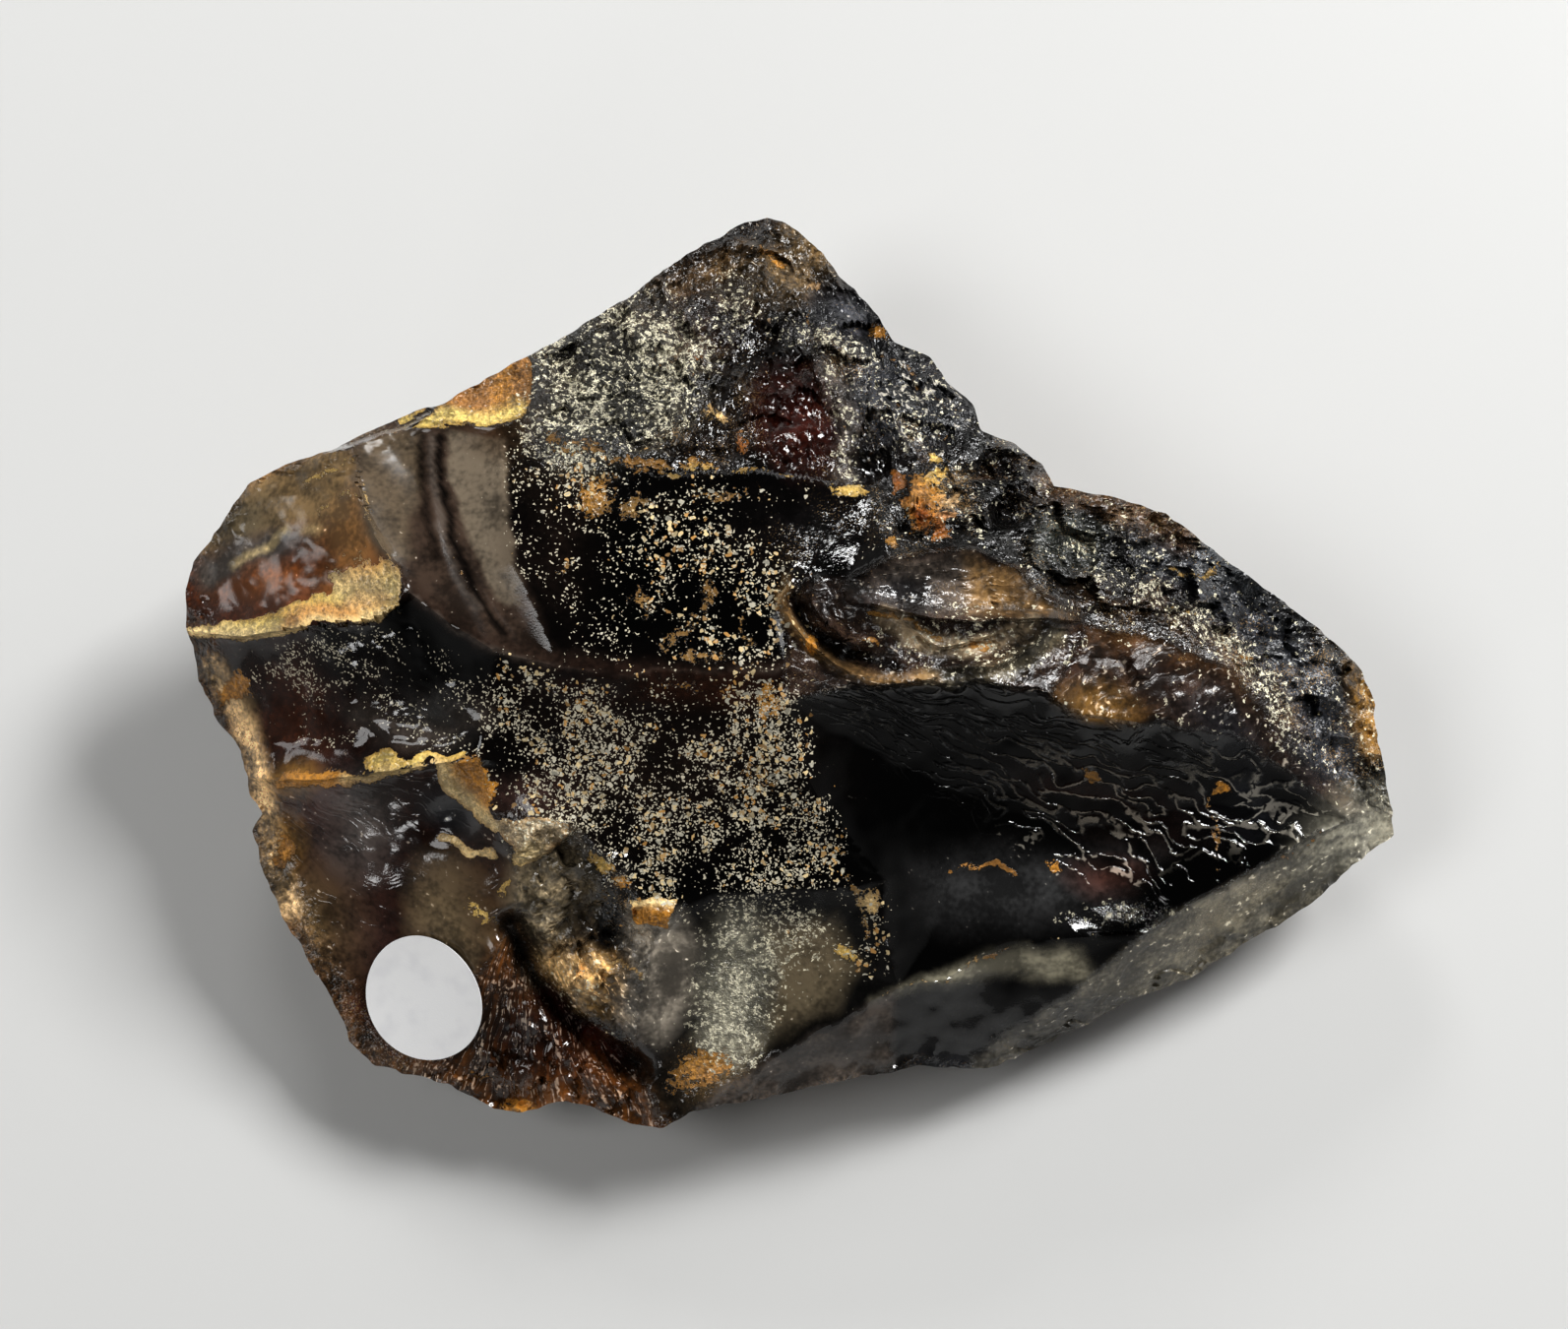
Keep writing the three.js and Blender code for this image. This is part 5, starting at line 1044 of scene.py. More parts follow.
# Weights of the small things that the material scatters over the surface: strength, shapes.
ZONES = {
    # Irregular tan flecks inside the resin.
    "fleck": [
        (0.24, scar("crown", 3)),
        (0.56, blob(-9, 9, 11, 12, 0, 0.6)),
        (0.7, blob(-18.5, 19, 6, 5, 0.2, 0.6)),
        (1, stroke([[-4.4, 13], [-4.8, 6], [-4.2, 0]], 0.9, 2), stroke([[-2, 12], [-2, 3]], 0.7,
         1.4), blob(-22.8, 11, 2.2, 1.5)),
        (0.9, stroke([[-15, 17.3], [-13.5, 13], [-11.5, 16]], 0.8, 1.4)),
        (0.85, stroke([[-9, 12], [-8, 4], [-12, 2]], 1.4, 2)),
        (0.6, scar("speckled", 2)),
        (-0.8, WHORL_FRONT),
        (0.7, stroke([[-24, 17.5], [-16, 18.6], [-6, 18.8], [1, 18.2]], 1.2, 2)),
        (0.85, blob(-3, -11, 6, 7, 0, 0.6), stroke([[-1.5, -4], [-1.5, -9], [1, -13], [5, -19],
         [7.8, -23], [8, -30]], 1.4, 2)),
        (0.8, blob(-2.5, -3.4, 2.6, 2.6)),
        (0.3, blob(-22, 21, 5, 5, 0, 0.6)),
        (0.1, scar("flank", 3)),
        (0.22, blob(-2, -24, 12, 5, 0, 0.5)),
        (0.05, scar("shoulder", 2)),
        (0.25, scar("chips", 2)),
        (0.05, scar("right crust", 2)),
        (0.25, stroke([[15.5, -31.6], [21.4, -27.8], [35, -26.8]], 0.8, 1)),
        (0.2, scar("window", 1)),
        (0.12, blob(31, -13, 9, 3, -0.3)),
    ],
    # Fine pale dust.
    "dust": [
        (0.8, scar("crown", 3)),
        (-0.8, WHORL_FRONT),
        (0.16, scar("band", 1)),
        (1.6, patch([[-50, 4], [-40, 4], [-30, -1], [0, -2], [5, -18], [0, -24], [-18, -22],
         [-28, -13], [-34, -8], [-44, -5]], 4)),
        (1.3, patch([[-57, 3], [-40, 4], [-30, -1], [-33, -7], [-50, -8]], 3)),
        (0.7, blob(-4, -25, 12, 4, 0, 0.6)),
        (0.35, scar("dish", 2)),
        (0.3, scar("chips", 2)),
        (0.15, scar("hollow", 2)),
        (0.1, scar("bevel", 1), scar("facet", 1)),
    ],
    # Rough crust.
    "crust": [
        (0.7, stroke([*OUTLINE, OUTLINE[0]], 0.7, 1.6)),
        (0.9, stroke([[-61, 4], [-60, -2], [-56, -8], [-54, -15], [-52.5, -21], [-48.5, -29],
         [-45, -35.5], [-40, -40.6]], 2.6, 2)),
        (0.7, scar("shoulder", 2)),
        (-0.75, blob(0.6, 26.5, 4.4, 5.8, 0.2, 0.6)),
        (-0.8, blob(8.2, 21.8, 3, 3.6, 0.2, 0.6)),
        (-0.7, blob(-6, 32.5, 5, 4.5, 0.3), blob(3.5, 16, 4.5, 3.4, 0, 0.7)),
        (0.9, scar("right crust", 2)),
        (0.6, scar("chips", 1)),
        (0.25, scar("foot", 1)),
        (-0.9, FOOT_GLASS),
        (0.8, blob(-19.7, -31.5, 5.5, 3)),
        (0.2, scar("fibrous", 1.5)),
        (0.35, scar("whorl", 1)),
        (0.3, blob(2.5, 15.5, 7, 4.5, 0, 0.6)),
        (0.6, blob(-9, -41, 5, 2.6)),
        (0.2, scar("side", 1)),
        (0.5, scar("window", 1), blob(-18, 21, 9, 4, 0, 0.6)),
    ],
    # Sparkling grains: rough tilted faces, and pale dots painted on them as glints.
    "silver": [
        (1.3, blob(-18, 31, 8.5, 6, 0.6, 0.5)),
        (0.7, blob(-23, 24.5, 3.5, 2.5, 0, 0.6)),
        (0.9, blob(-5.8, 38.9, 1.6, 3, 0, 0.7)),
        (0.6, stroke([[-1, 36.6], [3, 35.7], [7.8, 33.4]], 0.9, 2)),
        (0.5, stroke(HOLLOW_LINE, 0.7, 1.6)),
        (0.3, blob(13, 28.5, 5, 4, -0.7, 0.7)),
        (1.5, blob(-5.6, -32, 3.2, 5.6, -0.1, 0.7)),
        (0.35, blob(-2, -27, 6, 3, 0, 0.7)),
        (0.05, scar("right crust", 2)),
        (0.6, stroke([[32, 10.5], [40, 6.5], [47.5, 0], [50.5, -8]], 1.2, 2.4)),
        (0.35, blob(35, 11, 5, 2, -0.4)),
        (0.5, blob(33.5, -24.8, 4.5, 1)),
        (0.35, blob(28.1, 12.8, 1.8, 1)),
        (0.25, blob(18, 3, 8, 3, 0, 0.6)),
        (0.1, blob(-19.7, -31.5, 5, 2.6, 0, 0.6)),
        (0.3, patch(CHIP_PLATE, 1)),
        (0.04, scar("fibrous", 1)),
    ],
    # Fine parallel splinters, along the flow of each scar; their pale crests are partly painted
    # highlight.
    "fibre": [
        (1, patch([[2, -1.5], [20, -0.5], [36, -5], [50, -9], [55, -15.5], [42, -22], [33, -22],
         [22, -17], [12, -10]], 4)),
        (0.35, scar("fibrous", 1.5)),
        (0.6, scar("foot", 1.5)),
        (0.3, scar("side", 1)),
        (0.15, scar("hollow", 2)),
        (0.5, scar("window", 1)),
        (0.6, blob(-20, -31.5, 6, 4)),
        (0.25, scar("whorl", 1)),
        (0.2, scar("shoulder", 2)),
        (0.7, blob(12, 28.5, 6, 6, -0.4, 0.5)),
        (-0.8, blob(0.6, 26.5, 4.4, 5.8, 0.2, 0.5)),
        (0.3, patch(DISH_LEFT, 2.5)),
    ],
}


def layered(layers, start, u, v):
    """Lays coloured layers over a start colour; the fourth number is what a layer stops."""
    result = np.tile(np.array(start, dtype=float), (len(u), 1))
    for colour, stops, strength, *shapes in layers:
        for shape in shapes:
            share = (strength * shape(u, v))[:, None]
            result = mix(result, np.array([*colour, stops]), share)
    return result


def torn(patches, u, v):
    """Colours of the patches; the fourth number is the share that they cover."""
    result = np.tile(np.array([*ORANGE, 0.0]), (len(u), 1))
    for colour, strength, *shapes in patches:
        for shape in shapes:
            share = strength * shape(u, v)
            result[:, :3] = mix(result[:, :3], np.array(colour), share[:, None])
            result[:, 3] = np.maximum(result[:, 3], share)
    return result


def mottle(u, v, height):
    """Slow changes of shade, from 0 to 1."""
    wide, narrow = MOTTLE_WIDTHS
    return clamp(0.5 + 0.42 * noise(u / wide, v / wide, height / wide)
                 + 0.3 * noise(u / narrow, v / narrow, height / narrow + 40))


def ragged(u, v, reach):
    """Tears the plan by this much, so that painted edges run unevenly."""
    tear_u, tear_v = shifts(u, v, TEAR_WIDTHS, 0.6, 61.5)
    return u + reach * tear_u, v + reach * tear_v


def top_looks(u, v, height):
    """Everything that is painted on the top, as colours for the mesh."""
    across, along = flow(scar_numbers(u, v), u, v)
    weights = {name: paint(zones, u, v) for name, zones in ZONES.items()}
    return {
        "tint": layered(LAYERS, (*BLACK, 0.0), *ragged(u, v, LAYER_TEAR)),
        "patch": torn(PATCHES, *ragged(u, v, PATCH_TEAR)),
        "grains": np.stack([weights[name] for name in ("fleck", "dust", "crust", "silver")],
                           axis=1),
        "lines": np.stack([across, along, weights["fibre"], mottle(u, v, height)], axis=1),
    }


# The flow of a scar fans out from a plan point; a far point gives nearly parallel lines.
FLOWS = {
    "scoop": (-16, 5), "fibrous": (-40, -50), "foot": (-27, -22), "side": (-300, -240),
    "hollow": (-70, -2), "window": (-33, -200), "chips": (-35, -10), "whorl": (-60, 10),
    "shoulder": (0, 62), "right crust": (-30, 10), "dish": (0, 60),
}
FLOW_RADIUS = 40.0               # flow lines are evenly spaced at this distance from the point


def flow(scars, u, v):
    """Places across and along the flow lines of each point's scar."""
    across, along = v.copy(), u.copy()
    for number, item in enumerate(SCARS):
        here = scars == number
        centre = FLOWS.get(item.name)
        if centre is None or not here.any():
            continue
        du, dv = u[here] - centre[0], v[here] - centre[1]
        distance = np.hypot(du, dv)
        scale = max(FLOW_RADIUS, float(np.median(distance)))
        across[here] = np.arctan2(dv, du) * scale
        along[here] = distance
    return across, along


def steep_back(points, faces):
    """How far each point lies on a steep slope that falls outwards: rind grows there."""
    a, b, c = (points[faces[:, k]] for k in range(3))
    facing = np.cross(b - a, c - a)
    normals = np.zeros_like(points)
    for k in range(3):
        np.add.at(normals, faces[:, k], facing)
    normals /= np.linalg.norm(normals, axis=1)[:, None] + 1e-12
    outwards = points[:, :2] / (np.hypot(points[:, 0], points[:, 1])[:, None] + 1e-9)
    from_front = (normals[:, 2] * math.sin(CAMERA_ELEVATION)
                  - normals[:, 1] * math.cos(CAMERA_ELEVATION))
    outward = np.sum(normals[:, :2] * outwards, axis=1)
    return clamp((RIND_FACING - from_front) / RIND_FADE) * clamp(4 * outward)


def blend_looks(top, side, share):
    """Goes from the looks of the top to those of the sides; the flow lines don't blend."""
    blended = {name: mix(top[name], side[name], share[:, None]) for name in top}
    blended["lines"][:, :2] = np.where(share[:, None] > 0.5, side["lines"], top["lines"])[:, :2]
    return blended


# ---- the stone -------------------------------------------------------------------------------

# Rings of the base, as shares of the way out to its edge; each pair has half the points of the
# pair before it.
BASE_SHARES = (0.97, 0.9, 0.8, 0.68, 0.55, 0.42, 0.28, 0.14)


def nibbled_rim():
    """Points evenly round the outline, pulled in where the rim is chipped."""
    rim = evenly_round(OUTLINE[::-1], 6 * TOP_RINGS)
    wide, narrow = (rim / width for width in NIBBLE_WIDTHS)
    nibbles = 1 + noise(*wide.T, 5.5) + 0.7 * noise(*narrow.T, 8.5)
    return rim * (1 - RIM_CHIPS * nibbles)[:, None]


def disc_plan(rim):
    """Plan points of a disc, ring by ring up to the rim, and the spacing at each."""
    plan, spacing = [np.zeros((1, 2))], [np.full(1, 0.3)]
    for k in range(1, TOP_RINGS + 1):
        where = np.arange(6 * k) * TOP_RINGS / k
        first = np.floor(where).astype(int)
        share = (where - first)[:, None]
        ring = mix(rim[first % len(rim)], rim[(first + 1) % len(rim)], share)
        plan.append(ring * k / TOP_RINGS)
        spacing.append(np.minimum(np.hypot(ring[:, 0], ring[:, 1]) / TOP_RINGS, POINT_SPACING))
    return np.concatenate(plan), np.concatenate(spacing)


def build_stone():
    """One closed mesh: a disc for the top, then rings down the walls and in under the base."""
    rim = nibbled_rim()
    plan, spacing = disc_plan(rim)
    u, v = plan[:, 0].copy(), plan[:, 1].copy()
    inner = slice(0, len(plan) - len(rim))
    u[inner], v[inner] = snap_to_ridges(u[inner], v[inner], spacing[inner])
    bent_u, bent_v = wobble(u, v)
    height = top_form(bent_u, bent_v)
    points = [place(u, v, height)]
    faces = [disc_faces(TOP_RINGS)]
    looks = [blend_looks(top_looks(bent_u, bent_v, height), side_looks(u, v, height, 1.0),
                         steep_back(points[0], faces[0]))]

    total = len(u)
    ring_numbers = np.arange(total - len(rim), total)

    def add_ring(ring, side):
        nonlocal total, ring_numbers
        points.append(place(*ring.T))
        looks.append(side_looks(*ring.T, side))
        numbers = np.arange(total, total + len(ring))
        faces.append(band_faces(ring_numbers, numbers))
        total += len(ring)
        ring_numbers = numbers

    rim_points = np.column_stack([u, v, height])[ring_numbers]
    belly = ring_round(BELLY, rim)
    base = ring_round([[*corner, 0] for corner in BASE], rim)
    for start, end, first_sink in ((rim_points, belly, 0.0), (belly, base, 1.0)):
        for step in range(1, WALL_RINGS + 1):
            share = step / WALL_RINGS
            add_ring(sunk_wall(mix(start, end, share), mix(first_sink, 1.0, share)), 1.0)
    base_ring = sunk_wall(base, 1.0)
    for number, share in enumerate(BASE_SHARES):
        count = len(rim) // 2 ** (number // 2)
        chosen = np.round(np.linspace(0, len(rim), count, endpoint=False)).astype(int)
        ring = base_ring[chosen] * [share, share, 0]
        ring[:, 2] = base_relief(ring[:, 0], ring[:, 1], share)
        add_ring(ring, 0.0)
    middle = np.zeros((1, 3))
    points.append(place(*middle.T))
    looks.append(side_looks(*middle.T, 0.0))
    following = np.roll(ring_numbers, -1)
    faces.append(np.column_stack([ring_numbers, np.full(len(following), total), following]))

    stone = mesh_object("amber_stone", np.concatenate(points), np.concatenate(faces))
    for name in looks[0]:
        values = np.concatenate([look[name] for look in looks]).astype(np.float32)
        attribute = stone.data.attributes.new(name, "FLOAT_COLOR", "POINT")
        attribute.data.foreach_set("color", values.ravel())
    return stone


# Waves of the walls, as their width and height, and where in them each look begins.
LUMP_WAVES, GRAIN_WAVES, PATCH_WAVES, SPOT_WAVES = (12, 8), (5, 4), (9, 7), (4, 4)
FINE_WAVES = ((1.9, 0.4), (0.9, 0.2))   # width and depth
FINE_SHARE = 0.6
GLASS_FROM, HONEY_FROM, BRUISE_FROM = 0.45, 0.6, 0.55
SIDE_FLECK, SIDE_DUST, SIDE_SILVER = 0.25, 0.15, 0.1
MEAN_RADIUS = 45.0
# The ripples of the base run round a point beyond the left end.
RIPPLE_U, RIPPLE_V, RIPPLE_TURN, RIPPLE_BEND = -60, 10, 1.1, 2
RIPPLE_HEIGHT, BASE_GRAIN = 0.22, 0.05


def waves(u, v, height, size, shift=0, sign=1):
    """Noise from 0 to 1 in waves of this width and height."""
    width, rise = size
    return 0.5 + 0.5 * sign * noise(u / width, v / width, height / rise + shift)


def sunk_wall(ring, sink):
    """Sinks a ring of wall points in by the lumps of the CAD part and a finer crust."""
    u, v, height = ring.T
    lumps = WALL_LUMPS * waves(u, v, height, LUMP_WAVES, sign=-1)
    grain = WALL_GRAIN * waves(u, v, height, GRAIN_WAVES, sign=-1)
    fine = sum(depth * noise(u / size, v / size, height / size) for size, depth in FINE_WAVES)
    inset = 1 - sink * (lumps + grain) - min(1.0, 4 * sink) * FINE_SHARE * fine / np.hypot(u, v)
    return np.column_stack([u * inset, v * inset, height])


def base_relief(u, v, share):
    """The fracture that the stone rests on: nearly flat, with shallow ripples."""
    away = np.hypot(u - RIPPLE_U, v - RIPPLE_V) * RIPPLE_TURN
    ripples = 0.5 + 0.5 * np.sin(away + RIPPLE_BEND * noise(u / 9, v / 9, 1.5))
    calm = 1 - share ** 6
    return np.maximum(0.0, RIPPLE_HEIGHT * ripples * calm + BASE_GRAIN * noise(u / 2, v / 2, 4.5))


def side_looks(u, v, height, side):
    """Colours of the walls (side 1) and of the base (side 0): rind, with glassy breaks."""
    patches = waves(u, v, height, PATCH_WAVES)
    spots = waves(u, v, height, SPOT_WAVES, shift=9)
    glass = clamp(3 * (patches - GLASS_FROM)) * (0.5 + 0.5 * side)
    rind = mix(np.array([*BARK, 1.0]), np.array([*CHARCOAL, 0.9]), spots[:, None])
    tint = mix(rind, np.array([*DARK_BROWN, 0.3]), glass[:, None])
    tint = mix(tint, np.array([*HONEY, 0.8]), 0.6 * clamp(3 * (spots - HONEY_FROM))[:, None])
    bruise = clamp(1.7 * (spots - BRUISE_FROM)) * side
    patch_tint = np.column_stack([np.tile(ORANGE, (len(u), 1)), bruise])
    crust = clamp(0.9 - 0.8 * glass)
    grains = np.stack([SIDE_FLECK * patches, SIDE_DUST * glass, crust, SIDE_SILVER * crust],
                      axis=1)
    lines = np.stack([height, np.arctan2(v, u) * MEAN_RADIUS, clamp(0.7 * (1 - spots)),
                      mottle(u, v, height)], axis=1)
    return {"tint": tint, "patch": patch_tint, "grains": grains, "lines": lines}


def mesh_object(name, points, faces):
    mesh = bpy.data.meshes.new(name)
    mesh.from_pydata(points.tolist(), [], faces.tolist())
    mesh.update()
    mesh.shade_smooth()
    mesh.set_sharp_from_angle(angle=SHARP_EDGE)
    piece = bpy.data.objects.new(name, mesh)
    bpy.context.scene.collection.objects.link(piece)
    return piece

# ---- the sticker -----------------------------------------------------------------------------

STICKER_RINGS = 20
STICKER_SECTORS = 96
SETTLING_ROUNDS = 4


def top_surface(u, v):
    """Points of the stone's top, in metres."""
    return place(u, v, top_form(*wobble(u, v)))


def sticker_frame():
    """The stone's point under the middle of the sticker, and the directions of the paper."""
    span = STICKER_RADIUS / 2
    probe = top_surface(STICKER_CENTRE[0] + span * np.array([0.0, -1, 1, 0, 0]),
                        STICKER_CENTRE[1] + span * np.array([0.0, 0, 0, -1, 1]))
    normal = Vector(probe[2] - probe[1]).cross(Vector(probe[4] - probe[3])).normalized()
    across = Vector((0, 1, 0)).cross(normal).normalized()
    along = normal.cross(across)
    return [np.array(found) for found in (Vector(probe[0]), normal, across, along)]


def build_sticker():
    centre, normal, across, along = sticker_frame()
    radius = (np.repeat(np.arange(1, STICKER_RINGS + 1) / STICKER_RINGS, STICKER_SECTORS)
              * STICKER_RADIUS * MM)
    turn = np.tile(np.arange(STICKER_SECTORS) / STICKER_SECTORS * 2 * math.pi, STICKER_RINGS)
    radius, turn = np.append(0, radius), np.append(0, turn)
    x, y = radius * np.cos(turn), radius * np.sin(turn)
    flat = centre + np.outer(x, across) + np.outer(y, along)
    for _ in range(SETTLING_ROUNDS):
        on_stone = top_surface(*plan_of(*flat.T))
        flat += np.outer((on_stone - flat) @ normal, normal)
    # Paper is stiffer than the stone is smooth: it lies as a gently bent sheet on the high spots.
    bends = np.stack([np.ones_like(x), x, y, x * x, x * y, y * y], axis=1)
    lift = (flat - centre) @ normal
    sheet = bends @ np.linalg.lstsq(bends, lift, rcond=None)[0]
    flat += np.outer(sheet + np.max(lift - sheet) - lift, normal)
    over = flat + normal * (STICKER_GAP + STICKER_THICKNESS) * MM
    under = flat + normal * STICKER_GAP * MM
    count = len(flat)
    faces = []
    for i in range(STICKER_SECTORS):
        following = (i + 1) % STICKER_SECTORS
        for ring in range(STICKER_RINGS):
            outer, inner = 1 + ring * STICKER_SECTORS, 1 + (ring - 1) * STICKER_SECTORS
            a, b = outer + i, outer + following
            c, d = (inner + following, inner + i) if ring else (0, 0)
            for first, second, third in (((a, b, c), (a, c, d)) if ring else ((a, b, 0),)):
                faces.append((first, second, third))
                faces.append((first + count, third + count, second + count))
        faces.append((a, a + count, b + count))
        faces.append((a, b + count, b))
    return mesh_object("paper_sticker", np.concatenate([over, under]), np.array(faces))


# ---- materials -------------------------------------------------------------------------------

class Value:
    """A number in a node graph; sums and products of values add their math nodes."""

    def __init__(self, graph, socket):
        self.graph, self.socket = graph, socket

    def __add__(self, other):
        return self.graph.math("ADD", self, other)

    def __sub__(self, other):
        return self.graph.math("SUBTRACT", self, other)

    def __mul__(self, other):
        return self.graph.math("MULTIPLY", self, other)

    def into(self, factor, extra):
        """This times the factor, plus the extra."""
        return self.graph.math("MULTIPLY_ADD", self, factor, extra)


class Graph:
    """Short names for building a node material."""

    def __init__(self, name):
        self.material = bpy.data.materials.new(name)
        self.material.use_nodes = True
        self.nodes = self.material.node_tree.nodes
        self.links = self.material.node_tree.links
        self.nodes.clear()

    def feed(self, socket, value):
        if isinstance(value, Value):
            value = value.socket
        if isinstance(value, bpy.types.NodeSocket):
            self.links.new(value, socket)
        else:
            socket.default_value = value

    def node(self, kind, inputs=None, **settings):
        made = self.nodes.new(kind)
        for key, value in settings.items():
            setattr(made, key, value)
        for key, value in (inputs or {}).items():
            self.feed(made.inputs[key], value)
        return made

    def math(self, operation, *values, clamped=False):
        made = self.node("ShaderNodeMath", dict(enumerate(values)), operation=operation,
                         use_clamp=clamped)
        return Value(self, made.outputs[0])

    def vector(self, operation, *vectors):
        return self.node("ShaderNodeVectorMath", dict(enumerate(vectors)),
                         operation=operation).outputs[0]

    def scaled(self, vector, amount):
        return self.node("ShaderNodeVectorMath", {0: vector, "Scale": amount},
                         operation="SCALE").outputs[0]

    def parts(self, kind, source):
        """The three numbers of a colour or a vector."""
        return [Value(self, part) for part in self.node(kind, {0: source}).outputs]

    def painted(self, name, output="Color"):
        """A colour that is painted on the mesh, and its fourth number."""
        outputs = self.node("ShaderNodeAttribute", attribute_name=name).outputs
        return outputs[output], Value(self, outputs["Alpha"])

    def noise(self, vector, scale, detail=1.0):
        """Smooth noise, as a number and as a colour."""
        outputs = self.node("ShaderNodeTexNoise", {"Vector": vector, "Scale": scale,
                                                   "Detail": detail}).outputs
        return Value(self, outputs["Fac"]), outputs["Color"]

    def step(self, value, low, high, to_low=0.0, to_high=1.0):
        """A smooth step of the value from low to high."""
        made = self.node("ShaderNodeMapRange",
                         {"Value": value, "From Min": low, "From Max": high,
                          "To Min": to_low, "To Max": to_high},
                         interpolation_type="SMOOTHSTEP")
        return Value(self, made.outputs["Result"])

    def blend(self, factor, a, b):
        """From colour a to colour b."""
        made = self.node("ShaderNodeMix", data_type="RGBA")
        for socket, value in ((made.inputs[0], factor), (made.inputs[6], a), (made.inputs[7], b)):
            self.feed(socket, (*value, 1.0) if isinstance(value, tuple) else value)
        return made.outputs[2]

    def millimetres(self):
        """The place on the object, in millimetres."""
        return self.scaled(self.node("ShaderNodeTexCoord").outputs["Object"], 1 / MM)

    def finish(self, surface, volume=None):
        output = self.node("ShaderNodeOutputMaterial", {"Surface": surface.outputs[0]})
        if volume is not None:
            self.links.new(volume.outputs[0], output.inputs["Volume"])
        return self.material


AMBER_IOR = 1.54
AMBER_ABSORBS = (0.72, 0.22, 0.03, 1.0)
AMBER_DENSITY = 1400.0           # strong: a few millimetres look black

# The small things in and on the amber, with the painted glints and thread highlights on them.
GRAIN_TAN = (0.30, 0.19, 0.08)
FLECK_TAN = (0.72, 0.57, 0.32)
FLECK_GREY = (0.50, 0.47, 0.38)
FLECK_RUSTY = (0.46, 0.25, 0.07)
DUST = (0.58, 0.53, 0.41)
PALE_THREAD_AND_GLINT = (0.50, 0.46, 0.38)
PAINTED_GLINT = (0.90, 0.84, 0.64)

# Features to a millimetre.
SMALL_SCALE = 1.7
FINE_SCALE = 5.5
COARSE_CELLS = 1.7
FINE_CELLS = 3.4

CELL_BEND = 0.8                  # how far the cells are pushed out of shape, in millimetres
FLECK_SIZE = 0.52                # the widest flecks and dust, in cells
DUST_SIZE = 0.45
FACE_TILT = 0.38                 # how far the small faces of the crust lean
RIDGE_RELIEF = 0.09              # the height of the splinters, in millimetres
SKIN_RELIEF = 0.006              # the height of the finest grain


def flecks(graph, cells, density, size):
    """Small irregular dots; each cell holds one if its own number is under the density."""
    number, shade, spare = graph.parts("ShaderNodeSeparateColor", cells.outputs["Color"])
    radius = graph.math("MULTIPLY", density - number, 3.0, clamped=True) * size
    return graph.step(radius - cells.outputs["Distance"], 0.0, 0.08), shade, spare


